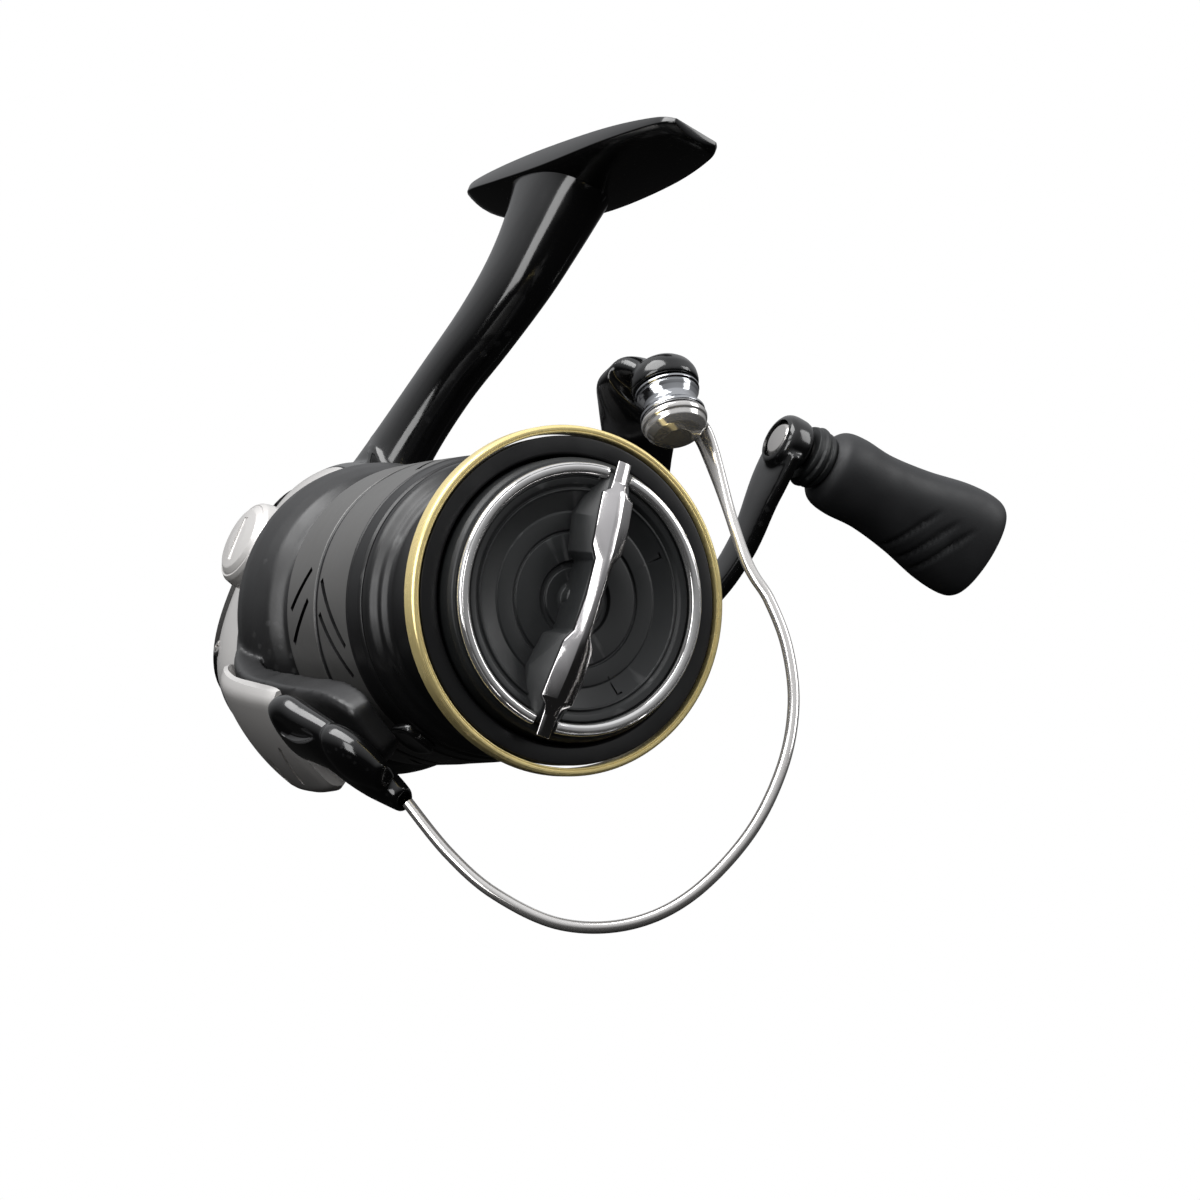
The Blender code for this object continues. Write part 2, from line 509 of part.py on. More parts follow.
# ---- gear train on the crank axis -----------------------------------------------------------------
def make_drive():
    turned("drive_shaft", "brass", CRANK, [
        (0, 24.0), (2.4, 24.0), (2.4, 12.0), (4.0, 12.0), (4.0, 3.4), (2.6, 3.2), (2.6, -3.2), (4.0, -3.4),
        (4.0, -12.0), (2.4, -12.0), (2.4, -15.6), (0, -15.6)], 20)
    sections = []
    for tooth in range(DRIVE_TEETH):
        for share, height in ((0.0, 0.2), (0.35, 1.2), (0.65, 1.2)):
            a = 2 * math.pi * (tooth + share) / DRIVE_TEETH
            across = Vector((math.cos(a), math.sin(a), 0))
            sections.append([across * 8.8 + Vector((0, 0, height)), across * 11.6 + Vector((0, 0, height)),
                             across * 11.6, across * 8.8])
    gear = loft("drive_gear", "brass", CRANK @ move(0, 0, -6.3), sections, closed=True)
    join(gear, extruded("gear_disc", "", CRANK @ move(0, 0, -7.0), circle(10.6, 20), 0.9, [circle(4.3, 16)],
                        cutter=True))
    for name, low in (("bearing_handle_side", 9.2), ("bearing_cap_side", -12.2)):
        ring(name, "steel", CRANK, 4.2, 7.2, low, low + 3.0, 24)


def make_handle():
    """Crank arm, knob and the cap that closes the far end of the gear shaft."""
    turned("handle_shank", "black_gloss", CRANK, [
        (2.7, 27.5), (5.6, 27.5), (5.2, 20.0), (6.4, 15.6), (6.4, 13.4), (2.7, 13.4)], 24)
    lean = math.radians(CRANK_LEAN)
    path = smooth([(-out * math.cos(lean), -out * math.sin(lean), side)
                   for out, side in ((0, 31.0), (7, 35.5), (16, 45.0), (25, 51.2), (35, 52.0), (45, 50.0),
                                     (CRANK_ARM, 48.9))], 2)
    sections = []
    for i, centre in enumerate(path):
        ahead = (path[min(i + 1, len(path) - 1)] - path[max(i - 1, 0)]).normalized()
        across = ahead.cross(Vector((0, 0, 1))).normalized()
        thick = across.cross(ahead).normalized()
        share = i / (len(path) - 1)
        wide = 5.6 - 2.3 * math.sin(math.pi * min(share * 1.15, 1.0))
        deep = 3.0 - 1.5 * math.sin(math.pi / 2 * min(share * 1.6, 1.0))
        sections.append(oval(centre, across, thick, wide, deep, 12, 2.6))
    arm = loft("handle_arm", "black_gloss", CRANK, sections)
    end = CRANK @ move(-ARM_UP, ARM_AHEAD, 0)
    join(arm, rod("arm_root", "", CRANK, 6.0, 27.8, 34.0, 20, True, bevel=0.8),
         rod("arm_boss", "", end, 4.5, 46.6, 51.5, 20, True, bevel=0.9))
    cut(arm, turned("arm_bore", "", end, [
        (0, 54.0), (2.4, 54.0), (2.4, 48.0), (3.2, 48.0), (3.2, 44.0), (0, 44.0)], 16, True),
        rod("root_bore", "", CRANK, 2.7, 26.0, 30.0, 16, True))
    turned("knob_shaft", "steel", end, [
        (0, 79.0), (1.5, 79.0), (1.5, 53.0), (2.1, 53.0), (2.1, 47.7), (2.9, 47.7), (2.9, 46.9),
        (0, 46.5)], 16)
    turned("knob_collar", "black_matte", end, [
        (2.6, 55.4), (4.6, 55.4), (5.0, 53.6), (4.6, 52.0), (2.6, 52.0)], 24)
    sections = [oval((0, 0, at), (1, 0, 0), (0, 1, 0), wide, deep, 16, square)
                for at, wide, deep, square in (
                    (55.8, 4.4, 4.0, 2.0), (57.4, 6.2, 5.2, 2.2), (60.5, 6.6, 5.4, 2.3),
                    (66.0, 6.4, 5.2, 2.3), (73.0, 7.2, 5.0, 2.4), (80.0, 8.6, 5.2, 2.5),
                    (85.0, 8.9, 5.3, 2.5), (87.6, 7.9, 4.8, 2.4), (88.6, 5.4, 3.4, 2.2))]
    knob = loft("handle_knob", "rubber", end @ turn(KNOB_TURN, "Z"), sections)
    cut(knob, rod("knob_bore", "", end, 2.6, 50.0, 80.6, 16, True),
        rod("knob_seat", "", end, 3.3, 50.0, 58.2, 16, True))
    ring("knob_bearing_inner", "steel", end, 1.7, 3.1, 56.0, 58.0, 16)
    ring("knob_bush_outer", "steel", end, 1.7, 2.4, 76.0, 78.0, 16)
    turned("handle_cap", "silver_satin", CRANK, cap_profile(), 32)


def cap_profile():
    """Domed cap; local Z points to the handle side, so the outer face is the lowest point."""
    return [(0, -16.0), (2.8, -16.0), (2.8, -13.6), (6.3, -13.6), (6.7, -14.6), (6.6, -17.0),
            (6.0, -18.4), (4.8, CAP_OUT), (0, CAP_OUT)]


# ---- housing ----------------------------------------------------------------------------------------
def shell(name, finish, inset, front=0.0, rear=0.0, cutter=False):
    """Gear housing shape shrunk by an inset all round; its two ends are moved in by their own amounts."""
    sections = []
    last = len(HOUSING) - 1
    for i, (back, half, low, high) in enumerate(HOUSING):
        back += front if i == 0 else -rear if i == last else 0
        sections.append(oval((0, back, (low + high) / 2), (1, 0, 0), (0, 0, 1), half - inset,
                             (high - low) / 2 - inset, 16, 2.8))
    return loft(name, finish, from_lip(0, 0, 0), sections, cutter)


def slab(name, low, high):
    """Cutter over everything between two corners given from the lip centre."""
    middle = [(a + b) / 2 for a, b in zip(low, high)]
    return box(name, "", from_lip(*middle), [b - a for a, b in zip(low, high)], cutter=True)


def make_housing():
    lip = from_lip(0, 0, 0)
    frame = shell("body_frame", "black_gloss", 0)
    stem = []
    for back, up, along, half_deep, half_wide in (
            (82.0, 20.0, (-0.3, 0.95), 9.0, 5.5), (78.5, 30.0, (-0.5, 0.87), 6.2, 4.6),
            (72.5, 40.0, (-0.6, 0.80), 5.4, 4.4), (65.6, 48.5, (-0.55, 0.84), 6.0, 4.6),
            (60.6, 56.5, (-0.35, 0.94), 7.2, 5.0), (58.2, 64.0, (-0.15, 0.99), 8.4, 5.6),
            (57.6, 70.0, (-0.05, 1.0), 10.4, 6.2), (58.0, 72.4, (0.0, 1.0), 13.0, 6.4)):
        level = Vector((0, along[1], -along[0]))
        stem.append(oval((0, back, up), (1, 0, 0), level, half_wide, half_deep, 12, 2.3))
    foot = []
    for back, half_wide, low in ((18.5, 3.6, 72.6), (22.0, 5.2, 72.0), (34.0, 6.6, 70.9), (52.0, 7.0, 70.0),
                                 (68.0, 6.6, 70.6), (80.0, 5.6, 71.8), (84.5, 4.0, 72.6)):
        foot.append([(across * half_wide, back, AXIS_DROP if top else low + abs(across) ** 2 * 0.9)
                     for across, top in ((-1, 1), (-1, 0), (-0.6, 0), (0, 0), (0.6, 0), (1, 0), (1, 1))])
    join(frame, loft("stem", "", lip, stem, True), loft("foot", "", lip, foot, True),
         rod("front_collar", "", SPOOL, 11.8, -64.6, -57.0, 24, True))
    cut(frame, rod("worm_seats", "", SPOOL @ move(*WORM, 0), 1.8, -103.6, -64.0, 12, True),
        rod("guide_seat", "", SPOOL @ move(*GUIDE, 0), 1.5, -103.6, -90.0, 12, True),
        shell("cavity", "", WALL, FRONT_WALL, TAIL_WALL, True))
    join(frame, rod("seat_boss", "", CRANK, 9.0, 9.6, 13.2, 24, True))
    cover = shell("side_cover", "silver_satin", 0)
    cut(cover, shell("cover_hollow", "", WALL, FRONT_WALL, TAIL_WALL, True))
    join(cover, rod("cap_boss", "", CRANK, 8.8, -13.4, -9.3, 28, True))
    for index, (back, up) in enumerate(COVER_SCREWS):
        spot = lip @ move(0, back, up) @ ALONG_X
        join(frame, rod("screw_boss_%d" % index, "", spot, 2.0, -10.0, -5.8, 8, True))
        seat = turned("screw_seat_%d" % index, "", spot, [
            (0, -6.0), (1.0, -6.0), (1.0, -9.4), (1.8, -9.4), (1.8, -14.0), (0, -14.0)], 12, True)
        cut(frame, seat)
        cut(cover, seat)
        turned("cover_screw_%d" % (index + 1), "steel", spot, [
            (0, -6.4), (0.7, -6.4), (0.7, -9.7), (1.5, -9.7), (1.5, -10.6), (0, -10.6)], 12)
    cut(frame, slab("cover_side", (-20, 60, -30), (SPLIT + GAP, 120, 30)),
        rod("collar_bore", "", SPOOL, 8.4, -67.0, -55.0, 24, True),
        turned("bearing_seat", "", CRANK, [
            (0, 15.0), (3.6, 15.0), (3.6, 12.3), (BORE_R, 12.3), (BORE_R, 8.0), (0, 8.0)], 24, True))
    cut(cover, slab("frame_side", (SPLIT, 60, -30), (20, 120, 30)),
        turned("cover_bore", "", CRANK, [
            (0, -8.0), (BORE_R, -8.0), (BORE_R, -12.3), (3.6, -12.3), (3.6, -15.0), (0, -15.0)], 24, True),
        rod("collar_room", "", SPOOL, 12.3, -67.0, -60.0, 28, True))
    ring("pinion_bearing", "steel", SPOOL, 3.8, 8.1, -63.6, -60.8, 24)
    ring("one_way_clutch", "steel", SPOOL, 5.3, 8.1, -60.4, -57.4, 24)
    ring("friction_ring", "rubber", SPOOL, 12.2, 13.2, -60.4, -58.8, 24)


def make_guard():
    """Bumper cup over the tail of the housing."""
    guard = shell("rear_guard", "black_gloss", -1.1, rear=-1.3)
    cut(guard, shell("guard_hollow", "", -GAP, rear=-GAP, cutter=True),
        slab("guard_mouth", (-20, 60, -30), (20, GUARD_BACK, 30)))


# ---- build ------------------------------------------------------------------------------------------
make_spool()
make_drag()
make_drag_knob()
make_oscillation()
make_rotor()
make_arm_covers()
make_bail()
make_drive()
make_handle()
make_housing()
make_guard()
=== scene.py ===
"""Spinning reel: finished surfaces, materials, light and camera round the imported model.

Shapes are given in millimetres in the reel's own working frames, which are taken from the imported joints:
  SPOOL   origin on the spool axis in the plane of the lip, local Z forward, local Y up
  CRANK   origin on the drive gear axis, local Z toward the handle
  BAIL    origin on the bail hinge, local X along the hinge toward the lever, local Y backward
  ROLLER  origin in the line roller, local Z along its pin
"""
import json
import math

import bmesh
import bpy
from mathutils import Matrix, Vector


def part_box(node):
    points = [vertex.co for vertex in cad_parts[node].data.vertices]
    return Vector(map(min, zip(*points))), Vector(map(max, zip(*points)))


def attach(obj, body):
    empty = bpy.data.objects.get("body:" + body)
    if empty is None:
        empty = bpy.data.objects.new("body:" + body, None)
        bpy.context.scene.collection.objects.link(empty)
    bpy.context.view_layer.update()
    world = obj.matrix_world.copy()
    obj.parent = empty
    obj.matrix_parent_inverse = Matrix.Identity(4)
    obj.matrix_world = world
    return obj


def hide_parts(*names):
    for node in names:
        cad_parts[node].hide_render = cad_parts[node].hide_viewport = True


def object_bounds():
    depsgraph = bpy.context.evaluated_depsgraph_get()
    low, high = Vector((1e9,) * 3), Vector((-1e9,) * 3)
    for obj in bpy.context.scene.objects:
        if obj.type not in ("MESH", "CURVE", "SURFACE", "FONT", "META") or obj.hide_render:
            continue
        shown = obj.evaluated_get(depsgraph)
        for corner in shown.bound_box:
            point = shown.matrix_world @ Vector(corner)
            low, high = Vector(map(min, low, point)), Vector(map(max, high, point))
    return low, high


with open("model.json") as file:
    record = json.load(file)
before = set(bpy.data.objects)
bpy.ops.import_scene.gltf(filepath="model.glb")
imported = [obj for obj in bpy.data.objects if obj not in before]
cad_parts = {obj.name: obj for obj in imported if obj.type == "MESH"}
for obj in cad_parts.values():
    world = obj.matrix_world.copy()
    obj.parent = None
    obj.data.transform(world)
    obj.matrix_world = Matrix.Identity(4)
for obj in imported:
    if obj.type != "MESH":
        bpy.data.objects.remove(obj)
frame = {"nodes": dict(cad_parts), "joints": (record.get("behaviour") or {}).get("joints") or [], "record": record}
CAD_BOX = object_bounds()

MM = 0.001
HOLE_SIDES = 8                    # the largest hole that is filled after a Boolean
JOINTS = {joint["name"]: joint for joint in frame["joints"]}


def joint_at(name):
    return Vector(JOINTS[name]["pos_m"])


def joint_along(name):
    return Vector(JOINTS[name]["axis"])


def turn(degrees, axis):
    return Matrix.Rotation(math.radians(degrees), 4, axis)


def move(x, y, z):
    return Matrix.Translation((x * MM, y * MM, z * MM))


def aim(direction):
    return Vector(direction).to_track_quat("Z", "Y").to_matrix().to_4x4()


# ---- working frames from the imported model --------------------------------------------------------
LIP_PROUD = 0.1                   # the gold ring stands this far ahead of the lip plane
LIP_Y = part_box("spool_lip_ring")[0].y + LIP_PROUD * MM
AXIS = joint_at("rotor_turn")
LIP = Vector((AXIS.x, LIP_Y, AXIS.z))
HINGE = -joint_along("bail_fold")
BAIL_TURN = math.degrees(math.atan2(HINGE.z, HINGE.x))
PLAIN = Matrix.Translation(LIP)   # axes as the world's, origin in the lip plane, Y backward
SPOOL = PLAIN @ turn(90, "X")
CRANK = Matrix.Translation(joint_at("crank_turn")) @ turn(90, "Y")
BAIL = Matrix.Translation(joint_at("bail_fold")) @ turn(-BAIL_TURN, "Y")
ROLLER = Matrix.Translation(joint_at("roller_spin")) @ aim(joint_along("roller_spin"))
ROLLER_IN_BAIL = (BAIL.inverted() @ ROLLER).translation / MM
PIN_IN_BAIL = (BAIL.inverted().to_3x3() @ joint_along("roller_spin")).normalized()
KNOB_END = Matrix.Translation(Vector((CRANK.translation.x, *joint_at("knob_spin").yz))) @ turn(90, "Y")
ALONG_X = turn(90, "Y")
ALONG_X_NEG = turn(-90, "Y")

# ---- driving sizes (mm) --------------------------------------------------------------------------
LIP_R = 23.0
SKIRT_R = 21.5
SKIRT_END = 44.8
ROTOR_R = 22.9
ROTOR_BACK = 62.5
BAR_TURN = 94.9                   # direction of the grip across the drag knob, degrees
KNOB_TURN = 25.0                  # rest angle of the handle knob about its shaft
WIRE_R = 0.8
SPLIT = -8.6                      # plane between the housing and its side cover
SEAM = 0.15                       # half of the gap along that plane
WALLS = (2.1, 2.2, 4.6)           # walls of the housing: side, front, tail
BEARING_R = 7.5                   # seats of the two drive gear bearings
KNOB_RING_R = 17.05               # middle of the polished ring on the drag knob
TICKS = (-46, -136)               # marks on the drag knob, degrees from its grip
COVER_SCREWS = ((67.2, -10.5), (66.8, 14.6), (93.5, 14.0), (92.5, -8.0))    # behind the lip, up
SLOTS = (
    ((-171.4, 37.4), (-156.6, 42.8)), ((-159.7, 37.2), (-144.2, 42.8)),
    ((-166.7, 33.4), (-141.3, 26.6)), ((-154.1, 33.4), (-129.8, 27.2)))
HOUSING = (                       # behind the lip, half width, lowest, highest
    (63.0, 11.6, -14.5, 14.5), (65.5, 12.4, -18.0, 18.5), (71.0, 12.8, -19.8, 23.0),
    (78.0, 12.8, -20.3, 25.5),
    (86.0, 12.4, -19.0, 25.6), (94.0, 11.0, -15.5, 24.2), (100.0, 8.2, -11.0, 21.0),
    (104.0, 6.4, -7.0, 17.0),
    (106.3, 4.4, -3.2, 12.5))


# ---- materials -----------------------------------------------------------------------------------
def finish(name, colour, metallic=0.0, roughness=0.4, drift=0.12, uneven=0.06, grain=0.1, pitch=0.25,
           coat=0.0,
           wear=0.0, worn=(0.35, 0.35, 0.35), stretch=(1, 1, 1), lathe=None):
    """Material whose colour drifts, whose roughness and grain vary, and whose edges wear.

    pitch is the size of the grain in mm, stretch draws it out along an axis as brushing does, and lathe is
    the (point, axis) round which fine turning marks run.
    """
    made = bpy.data.materials.new(name)
    made.use_nodes = True
    nodes, links = made.node_tree.nodes, made.node_tree.links
    shader = nodes["Principled BSDF"]
    place = nodes.new("ShaderNodeTexCoord").outputs["Object"]

    def noise(source, scale, detail=3.0):
        node = nodes.new("ShaderNodeTexNoise")
        node.inputs["Scale"].default_value = scale
        node.inputs["Detail"].default_value = detail
        links.new(source, node.inputs["Vector"])
        return node.outputs["Fac"]

    def spread(source, low, high, start=0.3, stop=0.7):
        node = nodes.new("ShaderNodeMapRange")
        node.inputs["From Min"].default_value = start
        node.inputs["From Max"].default_value = stop
        node.inputs["To Min"].default_value = low
        node.inputs["To Max"].default_value = high
        links.new(source, node.inputs["Value"])
        return node.outputs["Result"]

    def mix(factor, first, second):
        node = nodes.new("ShaderNodeMix")
        node.data_type = "RGBA"
        links.new(factor, node.inputs["Factor"])
        for socket, value in ((node.inputs["A"], first), (node.inputs["B"], second)):
            if isinstance(value, tuple):
                socket.default_value = (*value, 1.0)
            else:
                links.new(value, socket)
        return node.outputs["Result"]

    low = tuple(c * (1 - drift) for c in colour)
    high = tuple(min(1.0, c * (1 + drift)) for c in colour)
    shade = mix(spread(noise(place, 70.0), 0.0, 1.0), low, high)
    if wear:
        edge = nodes.new("ShaderNodeNewGeometry").outputs["Pointiness"]
        rubbed = nodes.new("ShaderNodeMath")
        rubbed.operation = "MULTIPLY"
        links.new(spread(edge, 0.0, wear, 0.53, 0.62), rubbed.inputs[0])
        links.new(spread(noise(place, 600.0), 0.2, 1.0), rubbed.inputs[1])
        shade = mix(rubbed.outputs["Value"], shade, worn)
    links.new(shade, shader.inputs["Base Color"])

    if lathe:
        point, axis = lathe
        away = nodes.new("ShaderNodeVectorMath")
        away.operation = "SUBTRACT"
        away.inputs[1].default_value = point
        links.new(place, away.inputs[0])
        around = nodes.new("ShaderNodeVectorMath")
        around.operation = "CROSS_PRODUCT"
        around.inputs[1].default_value = axis
        links.new(away.outputs["Vector"], around.inputs[0])
        radius = nodes.new("ShaderNodeVectorMath")
        radius.operation = "LENGTH"
        links.new(around.outputs["Vector"], radius.inputs[0])
        along = nodes.new("ShaderNodeVectorMath")
        along.operation = "DOT_PRODUCT"
        along.inputs[1].default_value = axis
        links.new(away.outputs["Vector"], along.inputs[0])
        both = nodes.new("ShaderNodeCombineXYZ")
        links.new(radius.outputs["Value"], both.inputs["X"])
        links.new(along.outputs["Value"], both.inputs["Y"])
        grained = noise(both.outputs["Vector"], 1000.0 / pitch, 2.0)
    else:
        drawn = nodes.new("ShaderNodeMapping")
        drawn.inputs["Scale"].default_value = stretch
        links.new(place, drawn.inputs["Vector"])
        grained = noise(drawn.outputs["Vector"], 1000.0 / pitch, 2.0)

    patch = nodes.new("ShaderNodeMath")
    patch.operation = "ADD"
    links.new(spread(noise(place, 220.0), roughness - uneven, roughness + uneven), patch.inputs[0])
    links.new(spread(grained, -uneven / 2, uneven / 2), patch.inputs[1])
    patch.use_clamp = True
    links.new(patch.outputs["Value"], shader.inputs["Roughness"])

    bump = nodes.new("ShaderNodeBump")
    bump.inputs["Strength"].default_value = grain
    bump.inputs["Distance"].default_value = pitch * MM * 0.1
    links.new(grained, bump.inputs["Height"])
    links.new(bump.outputs["Normal"], shader.inputs["Normal"])
    shader.inputs["Metallic"].default_value = metallic
    shader.inputs["Coat Weight"].default_value = coat
    shader.inputs["Coat Roughness"].default_value = 0.06
    return made


SPOOL_LATHE = (tuple(LIP), (0.0, 1.0, 0.0))
ROLLER_LATHE = (tuple(ROLLER.translation), tuple(joint_along("roller_spin")))
FINISHES = {
    "matte_black": finish("matte_black", (0.022, 0.0225, 0.0235), 0.0, 0.44, grain=0.35, pitch=0.16,
                          wear=0.10),
    "rotor_black": finish("rotor_black", (0.013, 0.013, 0.0135), 0.0, 0.38, grain=0.2, pitch=0.2,
                          wear=0.10),
    "gloss_black": finish("gloss_black", (0.0035, 0.0035, 0.0037), 0.0, 0.17, uneven=0.03, grain=0.05,
                          pitch=0.5, coat=0.4, wear=0.04),
    "turned_black": finish("turned_black", (0.010, 0.010, 0.0105), 0.2, 0.34, grain=0.25, pitch=0.12,
                           lathe=SPOOL_LATHE, wear=0.12),
    "black_plastic": finish("black_plastic", (0.012, 0.013, 0.0135), 0.0, 0.46, grain=0.5, pitch=0.12,
                            wear=0.14),
    "grey_satin": finish("grey_satin", (0.13, 0.128, 0.125), 0.45, 0.40, drift=0.05, grain=0.20, pitch=0.10,
                         lathe=SPOOL_LATHE),
    "silver_satin": finish("silver_satin", (0.70, 0.68, 0.66), 0.45, 0.32, drift=0.02, uneven=0.02,
                           grain=0.03,
                           pitch=0.3, coat=0.4),
    "gold": finish("gold", (1.0, 0.80, 0.36), 0.55, 0.26, drift=0.04, grain=0.20, pitch=0.10,
                   lathe=SPOOL_LATHE),
    "steel": finish("steel", (0.60, 0.58, 0.56), 1.0, 0.22, drift=0.08, grain=0.15, pitch=0.10,
                    uneven=0.07),
    "wire_steel": finish("wire_steel", (0.74, 0.72, 0.70), 0.80, 0.14, drift=0.04, grain=0.02, pitch=0.6,
                         uneven=0.02),
    "chrome": finish("chrome", (0.82, 0.81, 0.80), 0.85, 0.10, drift=0.05, grain=0.05, pitch=0.4,
                     uneven=0.03),
    "roller_chrome": finish("roller_chrome", (0.48, 0.49, 0.51), 1.0, 0.12, drift=0.06, grain=0.12,
                            pitch=0.12,
                            lathe=ROLLER_LATHE, uneven=0.04),
    "plate_steel": finish("plate_steel", (0.60, 0.58, 0.58), 1.0, 0.13, drift=0.10, grain=0.16, pitch=0.18,
                          stretch=(3.0, 1.0, 0.25), uneven=0.05),
    "brass": finish("brass", (0.66, 0.48, 0.20), 1.0, 0.30, drift=0.12, grain=0.2, pitch=0.12),
    "rubber": finish("rubber", (0.020, 0.0205, 0.022), 0.0, 0.56, drift=0.16, grain=0.6, pitch=0.10,
                     uneven=0.08),
    "felt": finish("felt", (0.33, 0.32, 0.30), 0.0, 0.92, drift=0.2, grain=0.9, pitch=0.3),
}
SLOT_FINISH = {"polished": "chrome"}      # slots whose finish here goes by another name


# ---- mesh helpers --------------------------------------------------------------------------------
def set_shading(mesh, angle=35):
    mesh.shade_smooth()
    mesh.set_sharp_from_angle(angle=math.radians(angle))


def solid(name, shape, matrix=None):
    """Object from a bmesh built in mm, moved to its place in the reel's own frame."""
    bmesh.ops.recalc_face_normals(shape, faces=shape.faces)
    bmesh.ops.scale(shape, vec=(MM, MM, MM), verts=shape.verts)
    if matrix is not None:
        shape.transform(matrix)
    mesh = bpy.data.meshes.new(name)
    shape.to_mesh(mesh)
    shape.free()
    set_shading(mesh)
    made = bpy.data.objects.new(name, mesh)
    bpy.context.scene.collection.objects.link(made)
    return made


def piece(made, body, slot, *replaced, look=None):
    """Give a finished object its material, the body it rides on and the nodes it stands for."""
    if not made.data.materials:
        made.data.materials.append(FINISHES[look or SLOT_FINISH.get(slot, slot)])
    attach(made, body)
    if replaced:
        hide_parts(*replaced)
    return made


def rounded(profile, radius=0.2, arcs=3):
    """Profile with every corner off the axis turned into a short arc."""
    closed = profile[0][0] > 0 and profile[-1][0] > 0
    last = len(profile) - 1
    out = []
    for i, point in enumerate(profile):
        if not closed and i in (0, last):
            out.append(tuple(point))
            continue
        here = Vector(point)
        before = Vector(profile[i - 1]) - here
        after = Vector(profile[(i + 1) % (last + 1)]) - here
        reach = min(radius, before.length * 0.45, after.length * 0.45)
        start, end = here + before.normalized() * reach, here + after.normalized() * reach
        for k in range(arcs + 1):
            t = k / arcs
            out.append(tuple(start * (1 - t) ** 2 + here * 2 * t * (1 - t) + end * t * t))
    return out


def turned(name, matrix, profile, steps=144, radius=0.2):
    """Turn a profile of (radius, height) round local Z, with its corners rounded."""
    points = rounded(profile, radius) if radius else profile
    closed = profile[0][0] > 0 and profile[-1][0] > 0
    shape = bmesh.new()
    rows = []
    for r, h in points:
        if r < 1e-6:
            rows.append([shape.verts.new((0, 0, h))] * steps)
        else:
            rows.append([shape.verts.new((r * math.cos(a), r * math.sin(a), h))
                         for a in (2 * math.pi * i / steps for i in range(steps))])
    pairs = list(zip(rows, rows[1:]))
    if closed:
        pairs.append((rows[-1], rows[0]))
    for upper, lower in pairs:
        for i in range(steps):
            j = (i + 1) % steps
            corners = []
            for vert in (upper[i], upper[j], lower[j], lower[i]):
                if vert not in corners:
                    corners.append(vert)
            if len(corners) > 2:
                shape.faces.new(corners)
    return solid(name, shape, matrix)


def curve_through(values, share):
    """Catmull-Rom value at a share from 0 to 1 along a list of equal-length tuples or vectors."""
    spans = len(values) - 1
    at = min(share * spans, spans - 1e-9)
    i = int(at)
    t = at - i
    a, b, c, d = (values[min(max(k, 0), spans)] for k in (i - 1, i, i + 1, i + 2))
    return tuple(0.5 * (2 * q + (r - p) * t + (2 * p - 5 * q + 4 * r - s) * t * t
                        + (3 * q - p - 3 * r + s) * t ** 3)
                 for p, q, r, s in zip(a, b, c, d))


def oval_points(centre, u, v, half_u, half_v, square, around):
    points = []
    for i in range(around):
        a = 2 * math.pi * (i + 0.5) / around
        c, s = math.cos(a), math.sin(a)
        cu = math.copysign(abs(c) ** (2 / square), c) * half_u
        sv = math.copysign(abs(s) ** (2 / square), s) * half_v
        points.append(Vector(centre) + Vector(u) * cu + Vector(v) * sv)
    return points


def skin(name, matrix, rows):
    """Closed surface over rows of points; the two ends are capped with a fan."""
    shape = bmesh.new()
    made = [[shape.verts.new(p) for p in row] for row in rows]
    count = len(rows[0])
    for near, far in zip(made, made[1:]):
        for i in range(count):
            j = (i + 1) % count
            shape.faces.new((near[i], near[j], far[j], far[i]))
    for row in (made[0], made[-1]):
        middle = shape.verts.new(sum((v.co for v in row), Vector()) / count)
        for i in range(count):
            shape.faces.new((row[i], row[(i + 1) % count], middle))
    return solid(name, shape, matrix)


def loft(name, matrix, stations, around=48, per_span=6, nose=0.0, tail=0.0):
    """Smooth skin through oval stations (centre, u, v, half_u, half_v, square).

    nose and tail are how far the two ends are domed.
    """
    flat = [(*s[0], *s[1], *s[2], s[3], s[4], s[5]) for s in stations]
    count = (len(flat) - 1) * per_span
    rows, middles = [], []
    for i in range(count + 1):
        v = curve_through(flat, i / count)
        rows.append(oval_points(v[0:3], v[3:6], v[6:9], max(v[9], 0.05), max(v[10], 0.05), v[11], around))
        middles.append(Vector(v[0:3]))
    steps = 5
    for at_start, depth in ((True, nose), (False, tail)):
        if not depth:
            continue
        row, middle = (rows[0], middles[0]) if at_start else (rows[-1], middles[-1])
        away = (middle - (middles[1] if at_start else middles[-2])).normalized()
        for k in range(1, steps + 1):
            a = math.pi / 2 * k / (steps + 0.4)
            new = [middle + away * depth * math.sin(a) + (p - middle) * math.cos(a) for p in row]
            rows = [new] + rows if at_start else rows + [new]
    return skin(name, matrix, rows)


def evaluated_mesh(made):
    bpy.context.view_layer.update()
    return bpy.data.meshes.new_from_object(made.evaluated_get(bpy.context.evaluated_depsgraph_get()))


def settle(made, angle=35):
    """Apply the modifiers of an object and fill the small holes that a Boolean leaves."""
    mesh = evaluated_mesh(made)
    shape = bmesh.new()
    shape.from_mesh(mesh)
    bmesh.ops.holes_fill(shape, edges=[edge for edge in shape.edges if edge.is_boundary], sides=HOLE_SIDES)
    shape.to_mesh(mesh)
    shape.free()
    made.modifiers.clear()
    made.data = mesh
    set_shading(mesh, angle)
    return made


def carve(made, *others, operation="DIFFERENCE", angle=35):
    for other in others:
        step = made.modifiers.new(other.name, "BOOLEAN")
        step.operation = operation
        step.object = other
        step.solver = "EXACT"
    settle(made, angle)
    for other in others:
        bpy.data.objects.remove(other)
    return made


def merged(name, parts):
    """One object from several that stand clear of each other."""
    shape = bmesh.new()
    for part in parts:
        shape.from_mesh(part.data)
        bpy.data.objects.remove(part)
    mesh = bpy.data.meshes.new(name)
    shape.to_mesh(mesh)
    shape.free()
    made = bpy.data.objects.new(name, mesh)
    bpy.context.scene.collection.objects.link(made)
    return made


